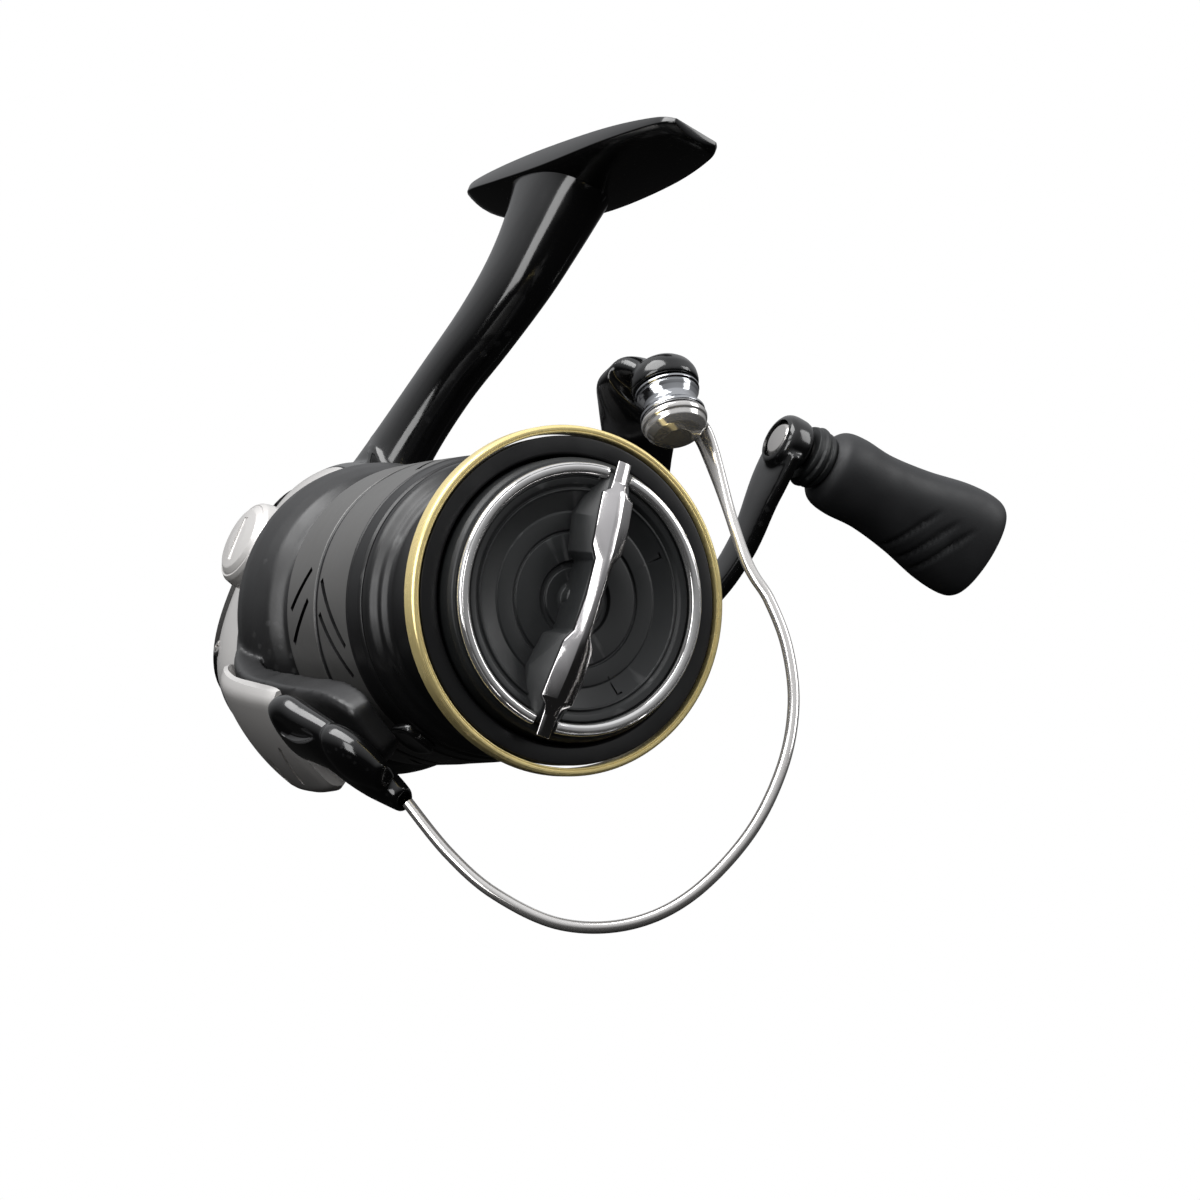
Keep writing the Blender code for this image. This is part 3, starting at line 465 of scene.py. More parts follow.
def melt(name, parts, voxel, rounds=6):
    """One smooth skin over several closed solids that run into each other."""
    made = merged(name, parts)
    again = made.modifiers.new("skin", "REMESH")
    again.mode = "VOXEL"
    again.voxel_size = voxel * MM
    even = made.modifiers.new("even", "SMOOTH")
    even.factor = 0.5
    even.iterations = rounds
    return settle(made, 60)


def block(name, matrix, size, radius=0.0):
    shape = bmesh.new()
    bmesh.ops.create_cube(shape, size=1.0)
    bmesh.ops.scale(shape, vec=size, verts=shape.verts)
    if radius:
        bmesh.ops.bevel(shape, geom=shape.edges[:], offset=radius, segments=3, profile=0.5, affect="EDGES")
    return solid(name, shape, matrix)


def tube(name, matrix, points, radii, around=20, flat=None):
    """Tube through points with its own half width at each; flat gives the half thickness where it differs."""
    rows = []
    side = None
    count = len(points)
    for i, point in enumerate(points):
        ahead = (points[min(i + 1, count - 1)] - points[max(i - 1, 0)]).normalized()
        if side is None:
            side = ahead.orthogonal().normalized()
        side = (side - ahead * side.dot(ahead)).normalized()
        up = ahead.cross(side)
        deep = flat[i] if flat else radii[i]
        rows.append([point + side * radii[i] * math.cos(a) + up * deep * math.sin(a)
                     for a in (2 * math.pi * k / around for k in range(around))])
    return skin(name, matrix, rows)


def bevelled(made, width, segments=3, angle=30):
    edge = made.modifiers.new("edge", "BEVEL")
    edge.width = width * MM
    edge.segments = segments
    edge.limit_method = "ANGLE"
    edge.angle_limit = math.radians(angle)
    return settle(made, 40)


# ---- spool ---------------------------------------------------------------------------------------
def make_spool():
    spool = turned("spool_body", SPOOL, [
        (19.05, -0.7), (19.3, -0.35), (21.6, -0.3), (21.6, -3.1), (20.6, -3.8), (19.2, -4.1), (18.0, -4.9),
        (18.0, -17.2), (18.3, -17.8), (18.9, -18.3), (19.2, -18.9), (20.0, -19.6), (20.35, -20.2),
        (20.5, -21.1),
        (16.4, -21.1), (16.4, -16.0), (4.3, -16.0), (4.3, -13.0), (12.5, -13.0), (12.5, -6.2),
        (19.05, -6.2)],
        radius=0.25)
    piece(spool, "spool", "matte_black", "spool", look="turned_black")
    lip = turned("lip_ring", SPOOL, [
        (21.9, -0.1), (22.02, 0.04), (22.16, 0.04), (22.2, -0.02), (22.26, 0.08), (22.62, 0.1),
        (22.9, -0.12),
        (LIP_R, -0.45), (LIP_R, -2.2), (22.5, -2.8), (21.9, -2.8)], 200, 0.05)
    piece(lip, "spool", "gold", "spool_lip_ring")

    skirt = turned("spool_skirt_bands", SPOOL, [
        (16.8, -21.4), (20.45, -21.4), (20.75, -21.9), (20.95, -24.6), (21.15, -24.9), (21.35, -34.1),
        (21.1, -34.3),
        (21.1, -35.1), (21.42, -35.35), (SKIRT_R, -44.3), (21.25, -SKIRT_END), (20.2, -SKIRT_END),
        (20.2, -22.7), (16.8, -22.7)], 192, 0.12)
    cutters = []
    for group in range(4):
        for index, (start, end) in enumerate(SLOTS):
            low, high = (Vector((SKIRT_R * math.cos(math.radians(a)), SKIRT_R * math.sin(math.radians(a)),
                                 -back))
                         for a, back in (start, end))
            along = (high - low).normalized()
            out = Vector((low.x + high.x, low.y + high.y, 0)).normalized()
            out = (out - along * out.dot(along)).normalized()
            facing = Matrix((out, out.cross(along) * -1, along)).transposed().to_4x4()
            place = SPOOL @ turn(90 * group, "Z") @ Matrix.Translation((low + high) / 2 * MM) @ facing
            cutters.append(block("slot_%d_%d" % (group, index), place, (2.63, 0.85, (high - low).length)))
    carve(skirt, merged("slots", cutters))
    skirt.data.materials.append(FINISHES["grey_satin"])
    skirt.data.materials.append(FINISHES["turned_black"])
    local = SPOOL.inverted()
    for face in skirt.data.polygons:
        at = local @ face.center / MM
        across = math.hypot(at.x, at.y)
        in_groove = -35.3 < at.z < -34.15
        face.material_index = 1 if at.z > -24.95 or in_groove or across < 20.9 else 0
    piece(skirt, "spool", "grey_satin", "spool_skirt")
    make_clip()


def make_clip():
    """Line clip: a glossy curved tab with a dished middle, set on the skirt's front band."""
    middle_turn, middle_back = -98.5, 24.9
    rows = []
    for scale, radius in ((1.0, 20.9), (1.0, 21.6), (0.97, 21.8), (0.92, 21.88), (0.84, 21.88),
                          (0.80, 21.8),
                          (0.74, 21.62), (0.40, 21.5), (0.1, 21.5)):
        row = []
        for u, v in ((p.x, p.y) for p in oval_points((0, 0, 0), (1, 0, 0), (0, 1, 0), 8.6, 3.4, 3.2, 64)):
            slant = 0.10 * u
            a = math.radians(middle_turn + u * scale)
            row.append(Vector((radius * math.cos(a), radius * math.sin(a),
                               -(middle_back + (v + slant) * scale))))
        rows.append(row)
    piece(skin("clip_tab", SPOOL, rows), "spool", "gloss_black", "line_clip")


# ---- drag knob -----------------------------------------------------------------------------------
def make_drag_knob():
    knob = turned("drag_knob_dish", SPOOL, [
        (0, 2.6), (1.5, 2.6), (1.9, 2.2), (2.0, 0.9), (2.5, 0.75), (4.2, 0.95), (4.35, 0.6), (4.95, 0.6),
        (5.15, 1.1), (8.7, 1.2), (8.8, 0.95), (9.05, 0.95), (9.15, 1.2), (11.4, 1.3), (11.6, 1.15),
        (14.15, 2.1),
        (14.25, 2.25), (14.45, 2.25), (14.6, 2.0), (15.1, 2.45), (15.9, 2.6), (16.1, 2.1), (18.0, 2.1),
        (18.25, 1.95), (18.6, 1.3), (18.6, -3.6), (17.8, -5.6), (9.6, -5.6), (9.6, -1.6), (0, -1.6)], 176,
        0.14)
    notches = [block("tick_%d" % i, SPOOL @ turn(BAR_TURN + a, "Z") @ move(12.3, 0, 1.9), (2.6, 0.22, 1.4))
               for i, a in enumerate(TICKS)]
    notches += [block("tick_foot_%d" % i, SPOOL @ turn(BAR_TURN + a, "Z") @ move(13.6, 0.3, 2.2),
                      (0.25, 0.9, 1.2))
                for i, a in enumerate(TICKS)]
    carve(knob, *notches)
    piece(knob, "drag_knob", "black_plastic", "drag_knob")

    sections = ((-17.2, 1.5, 1.2, 2.9), (-15.7, 2.9, 1.5, 3.9), (-10.5, 4.2, 2.1, 5.1),
                (-5.6, 3.1, 1.7, 5.6),
                (-4.7, 1.7, 1.3, 5.8), (4.7, 1.7, 1.3, 5.8), (5.6, 3.1, 1.7, 5.6), (10.5, 4.2, 2.1, 5.1),
                (15.7, 2.9, 1.5, 3.9), (17.2, 1.5, 1.2, 2.9))
    rows = [[Vector((x, -wide, 0.4)), Vector((x, -wide, 0.4 + 0.35 * (top - 0.4))), Vector((x, -slim, top)),
             Vector((x, slim, top)), Vector((x, wide, 0.4 + 0.35 * (top - 0.4))), Vector((x, wide, 0.4))]
            for x, wide, slim, top in sections]
    grip = bevelled(skin("grip_base", SPOOL @ turn(BAR_TURN, "Z"), rows), 0.16, 2)
    piece(grip, "drag_knob", "black_plastic")

    plate = ((-18.9, 0.95, 3.75), (-16.0, 1.0, 4.05), (-14.9, 1.2, 4.3), (-14.0, 2.3, 4.7),
             (-10.6, 2.35, 5.5),
             (-6.6, 2.2, 6.1), (-5.0, 1.35, 6.3), (0.0, 1.2, 6.5), (5.0, 1.35, 6.3), (6.6, 2.2, 6.1),
             (10.6, 2.35, 5.5), (14.0, 2.3, 4.7), (14.9, 1.2, 4.3), (16.0, 1.0, 4.05), (18.9, 0.95, 3.75))
    rows = []
    for x, wide, mid in plate:
        ridge = 0.85 if abs(x) < 15.5 else 0.05
        slim = 0.22 + 0.10 * wide
        rows.append([Vector((x, -wide, mid - 0.7)), Vector((x, -wide, mid - 0.1)),
                     Vector((x, -slim, mid + ridge)),
                     Vector((x, slim, mid + ridge)), Vector((x, wide, mid - 0.1)),
                     Vector((x, wide, mid - 0.7))])
    top = bevelled(skin("grip_plate", SPOOL @ turn(BAR_TURN, "Z"), rows), 0.09, 2, 14)
    piece(top, "drag_knob", "polished", "knob_plate", look="plate_steel")

    half = ((0.0, 0.72), (0.30, 0.70), (0.42, 0.58), (0.54, 0.64), (0.72, 0.42), (0.86, 0.0), (0.7, -0.4),
            (-0.7, -0.4), (-0.86, 0.0), (-0.66, 0.5), (-0.34, 0.70))
    for side, first in (("a", 7), ("b", 187)):
        rows = []
        for i in range(97):
            a = math.radians(BAR_TURN + first - 1.4 + 168.8 * i / 96)
            rows.append([Vector(((KNOB_RING_R + w) * math.cos(a), (KNOB_RING_R + w) * math.sin(a),
                                 2.75 + h)) for w, h in half])
        arc = bevelled(skin("bright_ring_" + side, SPOOL, rows), 0.08, 2, 22)
        piece(arc, "drag_knob", "polished", "knob_ring_" + side)


# ---- rotor, arm covers ---------------------------------------------------------------------------
def strip(name, matrix, stations, across=28, per_span=7, edge=0.5):
    """Curved shell with rounded edges, from (back, inner and outer radius, half angle, middle angle)."""
    count = (len(stations) - 1) * per_span
    rows = []
    for i in range(count + 1):
        back, low, high, half, middle = curve_through([tuple(map(float, s)) for s in stations], i / count)
        turns = [middle - half + 2 * half * k / (across - 1) for k in range(across)]
        lift = []
        for k in range(across):
            near = min(k, across - 1 - k) / (across - 1) * 2
            lift.append(edge * (1 - min(near / 0.22, 1.0)) ** 2)
        outer = [((high - e) * math.cos(math.radians(a)), back, (high - e) * math.sin(math.radians(a)))
                 for a, e in zip(turns, lift)]
        inner = [(low * math.cos(math.radians(a)), back,
                  low * math.sin(math.radians(a))) for a in reversed(turns)]
        rows.append([Vector(p) for p in outer + inner])
    return skin(name, matrix, rows)


def make_rotor():
    cup = turned("rotor_cup", SPOOL, [
        (17.8, -33.0), (19.25, -33.0), (19.25, -50.2), (20.2, -51.0), (21.3, -52.2), (22.3, -54.8),
        (ROTOR_R, -57.6), (22.75, -59.8), (22.0, -61.6), (21.0, -ROTOR_BACK), (20.0, -ROTOR_BACK),
        (19.8, -57.5),
        (17.5, -54.8), (3.9, -54.8), (3.9, -51.5), (17.8, -51.5)], 144, 0.3)
    arms = []
    for side, sign in (("lever", 1), ("cam", -1)):
        arms.append(strip("arm_" + side, BAIL @ turn(90 - 90 * sign, "Y"), (
            (38.0, 20.8, 22.2, 34, 0), (35.4, 21.0, 23.8, 28, 0), (32.0, 21.8, 26.0, 23.5, 0),
            (26.0, 23.6, 27.7, 19.5, 0), (16.0, 24.1, 28.4, 17, 0), (6.0, 24.5, 28.8, 15.2, 0),
            (-2.0, 24.6, 28.8, 13.5, 0), (-6.6, 24.8, 28.5, 9.5, 0), (-8.0, 25.2, 28.0, 6.5, 0))))
    rotor = melt("rotor_body", [cup] + arms, 0.34, 5)
    pivots = [turned("pivot_hole_" + side, BAIL @ facing, [(0, 32), (1.5, 32), (1.5, 20), (0, 20)], 32, 0)
              for side, facing in (("lever", ALONG_X), ("cam", ALONG_X_NEG))]
    pocket = block("spring_pocket", BAIL @ move(-27.6, 17.0, -3.0), (3.6, 14, 4.0), 0.4)
    carve(rotor, *pivots, pocket, angle=50)
    piece(rotor, "rotor", "matte_black", "rotor", look="rotor_black")


def make_arm_covers():
    cam = strip("cam_side_cover", BAIL, (
        (37.4, 23.4, 24.6, 21, 180), (35.0, 25.2, 26.9, 22, 180), (31.0, 27.2, 29.0, 21.4, 180),
        (26.0, 28.3, 30.3, 19.6, 180), (18.0, 28.9, 31.3, 18, 180), (11.6, 29.2, 31.5, 16.6, 180),
        (9.5, 29.3, 31.0, 15.6, 180)), edge=1.1)
    cuts = [block("cover_slot_%d" % i, BAIL @ move(-30, back, across) @ turn(-lean, "X"), (8, long, wide),
                  0.3)
            for i, (across, back, lean, long, wide) in enumerate(((-4.6, 25.4, 58, 5.6, 1.5),
                                                                  (-3.0, 16.2, 64, 7.8, 0.8)))]
    carve(cam, *cuts)
    piece(cam, "rotor", "silver_satin", "cam_arm_cover")
    lever = strip("lever_side_cover", BAIL @ turn(180, "Y"), (
        (37.4, 23.4, 24.4, 21, 180), (34.0, 25.8, 27.2, 21.5, 180), (28.0, 27.9, 29.0, 19.6, 180),
        (23.0, 28.8, 29.8, 18, 180), (21.0, 29.1, 29.9, 16.8, 180)), edge=0.5)
    piece(lever, "rotor", "gloss_black", "lever_arm_cover")


# ---- bail ----------------------------------------------------------------------------------------
WIRE_START = Vector((-31.3, -14.0, -8.4))
WIRE_END = Vector((32.9, -18.0, 2.8))
WIRE_TILT = 30
WIRE_ROUTE = ((0, 0.6), (-2.0, 9), (-2.5, 17), (-0.5, 26), (5, 33), (13, 37), (24, 38), (34, 36), (42, 32),
              (48, 26.5), (52, 20.5), (55, 14))


def bail_point(along, out):
    """Point in the plane of the wire: distance along its chord from the cam, and out from the chord."""
    chord = (WIRE_END - WIRE_START).normalized()
    tilt = math.radians(WIRE_TILT)
    side = Vector((0, -math.sin(tilt), -math.cos(tilt)))
    side = (side - chord * side.dot(chord)).normalized()
    return WIRE_START + chord * along + side * out


def make_wire():
    cap_middle = ROLLER_IN_BAIL - PIN_IN_BAIL * 3.5
    route = [tuple(bail_point(s, h)) for s, h in WIRE_ROUTE]
    reach = Vector(route[-1]) - cap_middle
    reach = (reach - PIN_IN_BAIL * reach.dot(PIN_IN_BAIL)).normalized()
    route += [tuple(cap_middle + reach * 6.2), tuple(cap_middle + reach * 2.4)]
    count = 150
    points, widths, depths = [], [], []
    for i in range(count + 1):
        points.append(Vector(curve_through(route, i / count)))
        left = max(0.0, 1 - (points[-1] - cap_middle).length / 15.0)
        widths.append(WIRE_R + 2.3 * left ** 1.6)
        depths.append(WIRE_R + 0.35 * left ** 2)
    rail = tube("rail", BAIL, points, widths, 24, depths)
    cap = turned("cap", ROLLER, [
        (0, -2.5), (4.5, -2.5), (4.6, -2.8), (4.5, -3.3), (4.25, -3.5), (4.1, -4.2), (3.3, -5.0),
        (1.9, -5.5),
        (0, -5.6)], 96, 0.15)
    rail.name = "bail_wire_and_cap"
    wire = carve(rail, cap, operation="UNION", angle=50)
    bore = turned("cap_bore", ROLLER, [(0, -2.0), (1.5, -2.0), (1.5, -4.4), (0, -4.4)], 32, 0)
    piece(carve(wire, bore, angle=50), "bail", "steel", "bail_wire", look="wire_steel")


def make_cam():
    across, up = (1, 0, 0), (0, 0, 1)
    body = loft("cam_body", BAIL, (
        ((-31.4, 7.0, 4.2), across, up, 0.9, 2.6, 2.3), ((-31.8, 4.6, 4.0), across, up, 1.9, 4.7, 2.3),
        ((-32.0, 0.0, 4.0), across, up, 2.4, 5.4, 2.3),
        ((-32.2, -4.6, 2.4), across, (0, 0.2, 1), 2.4, 5.4, 2.3),
        ((-32.1, -8.2, -0.6), across, (0, -0.25, 0.95), 2.3, 5.0, 2.2),
        ((-31.8, -11.0, -3.6), across, (0, -0.45, 0.88), 2.3, 4.2, 2.1),
        (tuple(WIRE_START + Vector((0, 1.4, 1.4))), across, (0, -0.5, 0.86), 1.9, 2.6, 2.0),
        (tuple(WIRE_START + Vector((0, 0.2, 0.1))), across, (0, -0.5, 0.86), 1.6, 1.9, 2.0)), 64, 9, 0.6,
        0.3)
    bulge = loft("cam_bulge", BAIL, (
        ((-32.2, -7.0, 1.6), across, (0, 0.1, 1), 1.4, 2.6, 2.0),
        ((-32.4, -9.4, 0.6), across, (0, -0.1, 1), 2.4, 4.0, 2.2),
        ((-32.2, -12.0, -1.6), across, (0, -0.4, 0.9), 2.2, 4.0, 2.2),
        ((-31.8, -14.0, -4.4), across, (0, -0.5, 0.86), 1.5, 2.6, 2.0)), 48, 8, 0.8, 0.6)
    cam = melt("bail_cam_arm", [body, bulge], 0.2, 7)
    socket = turned("wire_socket", BAIL @ Matrix.Translation(WIRE_START * MM) @ aim((0, -0.86, -0.5)),
                    [(0, 3.2), (1.1, 3.2), (1.1, -2.0), (0, -2.0)], 32, 0)
    rows = []
    for scale, x in ((1.0, -36.5), (1.0, -34.1), (0.86, -33.7), (0.3, -33.7)):
        row = []
        for i in range(48):
            a = 2 * math.pi * i / 48
            length, height = 5.6 * math.cos(a), 2.0 * math.sin(a) * (1 - 0.38 * math.cos(a))
            row.append(Vector((x, -length * scale - 2.0, 5.6 + height * scale - 0.22 * length * scale)))
        rows.append(row)
    carve(cam, socket, skin("teardrop", BAIL, rows), angle=50)
    piece(cam, "bail", "gloss_black", "bail_cam")


def make_lever():
    across, up = (1, 0, 0), (0, 0, 1)
    head = ROLLER_IN_BAIL + PIN_IN_BAIL * 4.4
    arm = loft("arm", BAIL, (
        ((31.0, 5.4, 0.0), across, up, 1.2, 3.6, 2.4), ((31.1, 3.2, 1.4), across, up, 1.6, 6.2, 2.4),
        ((31.3, -1.6, 5.0), across, up, 1.8, 8.4, 2.4),
        ((31.6, -6.0, 8.6), (0.98, 0, 0.16), (-0.16, 0, 0.98), 2.0, 7.8, 2.4),
        ((32.6, -9.8, 11.4), (0.95, 0, 0.3), (-0.3, 0.1, 0.95), 2.4, 6.2, 2.4),
        (tuple(head + Vector((-0.4, 2.6, 0.6))), (0.85, -0.3, 0.3), (-0.45, 0.1, 0.88), 2.5, 5.2, 2.2),
        (tuple(head), (0.7, -0.6, -0.1), (-0.55, -0.1, 0.76), 2.3, 4.6, 2.2)), 48, 7, 0.5, 0.5)
    dome = turned("dome", ROLLER, [
        (0, 6.9), (1.8, 6.85), (3.2, 6.4), (4.2, 5.5), (4.7, 4.4), (4.75, 3.2), (4.6, 2.5), (0, 2.5)], 96,
        0.3)
    lever = melt("bail_lever_arm", [arm, dome], 0.22, 5)
    hole = turned("head_hole", ROLLER, [(0, 9), (1.9, 9), (1.9, 6.0), (1.6, 5.9), (1.6, 0), (0, 0)], 40, 0)
    piece(carve(lever, hole, angle=50), "bail", "gloss_black", "bail_lever")
    screw = turned("roller_pin", ROLLER, [
        (0, 6.35), (1.5, 6.35), (1.6, 6.2), (1.55, 5.95), (1.2, 5.9), (1.2, -4.2), (0, -4.2)], 64, 0.08)
    carve(screw, block("pin_slot", ROLLER @ move(0, 0, 6.4), (2.6, 0.5, 0.7)))
    piece(screw, "bail", "steel", "roller_screw")
    roller = turned("roller_drum", ROLLER, [
        (2.3, 2.2), (4.25, 2.2), (4.5, 2.05), (4.5, 1.75), (4.2, 1.6), (4.2, 1.45), (4.35, 1.3),
        (4.05, 0.8),
        (3.75, 0.1), (3.7, -0.5), (3.9, -1.1), (4.35, -1.5), (4.5, -1.7), (4.5, -2.05), (4.25, -2.2),
        (2.3, -2.2)],
        128, 0.07)
    piece(roller, "roller", "polished", "line_roller", look="roller_chrome")


# ---- handle --------------------------------------------------------------------------------------
CRANK_LEAN = 27.4
CRANK_ARM = 53.0


def make_handle():
    lean = math.radians(CRANK_LEAN)
    path = [(-out * math.cos(lean), -out * math.sin(lean), side)
            for out, side in ((0, 31.0), (7, 35.5), (16, 45.0), (25, 51.2), (35, 52.0), (45, 50.0),
                              (CRANK_ARM, 48.9))]
    count = 56
    points = [Vector(curve_through(path, i / count)) for i in range(count + 1)]
    rows = []
    for i, centre in enumerate(points):
        ahead = (points[min(i + 1, count)] - points[max(i - 1, 0)]).normalized()
        across = ahead.cross(Vector((0, 0, 1))).normalized()
        thick = across.cross(ahead).normalized()
        share = i / count
        wide = 5.6 - 2.3 * math.sin(math.pi * min(share * 1.15, 1.0))
        deep = 3.0 - 1.5 * math.sin(math.pi / 2 * min(share * 1.6, 1.0))
        rows.append(oval_points(centre, across, thick, wide, deep, 2.6, 40))
    bar = skin("bar", CRANK, rows)
    root = turned("root", CRANK, [(0, 34.0), (5.0, 34.0), (5.8, 33.2), (6.0, 32.0), (6.0, 27.8), (0, 27.8)],
                  96, 0.5)
    boss = turned("boss", KNOB_END, [
        (0, 51.5), (3.4, 51.5), (4.2, 51.0), (4.5, 50.2), (4.5, 48.0), (4.2, 47.1), (3.4, 46.6), (0, 46.6)],
        96, 0.4)
    arm = melt("handle_crank", [bar, root, boss], 0.36, 6)
    bore = turned("arm_bore", KNOB_END,
                  [(0, 54.0), (2.4, 54.0), (2.4, 48.0), (3.15, 47.9), (3.2, 44.0), (0, 44.0)],
                  48, 0)
    root_bore = turned("root_bore", CRANK, [(0, 30.0), (2.7, 30.0), (2.7, 26.0), (0, 26.0)], 48, 0)
    piece(carve(arm, bore, root_bore, angle=50), "crank", "gloss_black", "handle_arm")
    pin = turned("knob_pin", KNOB_END, [
        (0, 79.0), (1.5, 79.0), (1.5, 53.0), (2.1, 53.0), (2.1, 47.75), (2.95, 47.65), (2.95, 47.2),
        (2.3, 46.8),
        (0, 46.65)], 64, 0.1)
    piece(pin, "crank", "steel", "knob_shaft")
    shank = turned("handle_stub", CRANK, [
        (2.7, 27.5), (5.4, 27.5), (5.6, 27.0), (5.3, 24.0), (5.1, 20.5), (5.5, 17.5), (6.4, 15.8),
        (6.4, 13.4),
        (2.7, 13.4)], 96, 0.3)
    piece(shank, "crank", "gloss_black", "handle_shank")
    collar = turned("knob_neck", KNOB_END, [
        (2.6, 55.5), (4.3, 55.5), (4.6, 55.1), (4.7, 54.6), (4.4, 54.3), (4.9, 53.8), (5.0, 53.3),
        (4.6, 52.9),
        (4.7, 52.5), (4.5, 52.0), (2.6, 52.0)], 96, 0.12)
    piece(collar, "knob", "black_plastic", "knob_collar")
    make_grip()


GROOVES = (74.8, 78.5, 81.6)       # where the knob's three grooves start, along its shaft


def make_grip():
    """Rubber handle knob: waisted, broad at its outer end, with three curved grooves on each flank."""
    stations = [(at, wide, deep, square)
                for at, wide, deep,
                square in ((55.8, 4.4, 4.0, 2.0), (57.4, 6.1, 5.2, 2.2), (60.5, 6.6, 5.4, 2.3),
                                               (66.0, 6.4, 5.2, 2.3), (73.0, 7.2, 5.0, 2.4),
                                               (80.0, 8.6, 5.2, 2.5),
                                               (85.0, 8.9, 5.3, 2.5), (87.4, 8.1, 4.8, 2.4),
                                               (88.5, 5.9, 3.5, 2.2))]
    count = 128
    around = 112
    rows = []
    for i in range(count + 1):
        at, wide, deep, square = curve_through(stations, i / count)
        row = oval_points((0, 0, at), (1, 0, 0), (0, 1, 0), wide, deep, square, around)
        for k, point in enumerate(row):
            flank = min(max((abs(point.y) / deep - 0.3) / 0.3, 0.0), 1.0)
            reach = min(max((point.x + 3.5) / 2.5, 0.0), 1.0) * min(max((8.4 - point.x) / 1.5, 0.0), 1.0)
            dip = 0.0
            for start in GROOVES:
                line = start - 0.46 * (point.x + 2.0) + 0.012 * (point.x - 2.5) ** 2
                near = abs(point.z - line) / 0.7
                if near < 1:
                    dip = max(dip, (1 - near * near) ** 2)
            inward = (point - Vector((0, 0, point.z))).normalized()
            row[k] = point - inward * (0.55 * dip * flank * reach)
        rows.append(row)
    knob = skin("knob_grip", KNOB_END @ turn(KNOB_TURN, "Z"), rows)
    bore = turned("knob_bore", KNOB_END, [
        (0, 80.6), (2.6, 80.6), (2.6, 58.2), (3.3, 58.2), (3.3, 50.0), (0, 50.0)], 48, 0)
    piece(carve(knob, bore, angle=50), "knob", "rubber", "handle_knob")


# ---- housing -------------------------------------------------------------------------------------
def shell(name, inset, front=0.0, rear=0.0, around=64, per_span=5, domed=0.0):
    stations = []
    last = len(HOUSING) - 1
    for i, (back, half, low, high) in enumerate(HOUSING):
        back += front if i == 0 else -rear if i == last else 0
        stations.append(((0, back, (low + high) / 2), (1, 0, 0), (0, 0, 1), half - inset,
                         (high - low) / 2 - inset,
                         2.8))
    return loft(name, PLAIN, stations, around, per_span, 0, domed)


def side_of_split(name, keep_cover):
    """Cutter over everything on one side of the plane between the housing and its side cover."""
    edge = SPLIT - SEAM if keep_cover else SPLIT + SEAM
    low, high = (edge, 20.0) if keep_cover else (-20.0, edge)
    return block(name, PLAIN @ move((low + high) / 2, 90, 0), (high - low, 60, 60))


STEM = (                          # behind the lip, up, direction, half depth, half width
    (82.0, 20.0, (-0.3, 0.95), 9.0, 5.5), (78.5, 30.0, (-0.5, 0.87), 6.2, 4.6),
    (72.5, 40.0, (-0.6, 0.80), 5.4, 4.4),
    (65.6, 48.5, (-0.55, 0.84), 6.0, 4.6), (60.6, 56.5, (-0.35, 0.94), 7.2, 5.0),
    (58.2, 64.0, (-0.15, 0.99), 8.4, 5.6), (57.6, 70.0, (-0.05, 1.0), 10.4, 6.2),
    (58.0, 72.0, (0.0, 1.0), 13.0, 6.4))
FOOT = ((18.5, 3.6, 72.6), (22.0, 5.2, 72.0), (34.0, 6.6, 70.9), (52.0, 7.0, 70.0), (68.0, 6.6, 70.6),
        (80.0, 5.6, 71.8), (84.5, 4.0, 72.6))
SEAT_UP = -LIP.z / MM             # rod seat above the spool axis


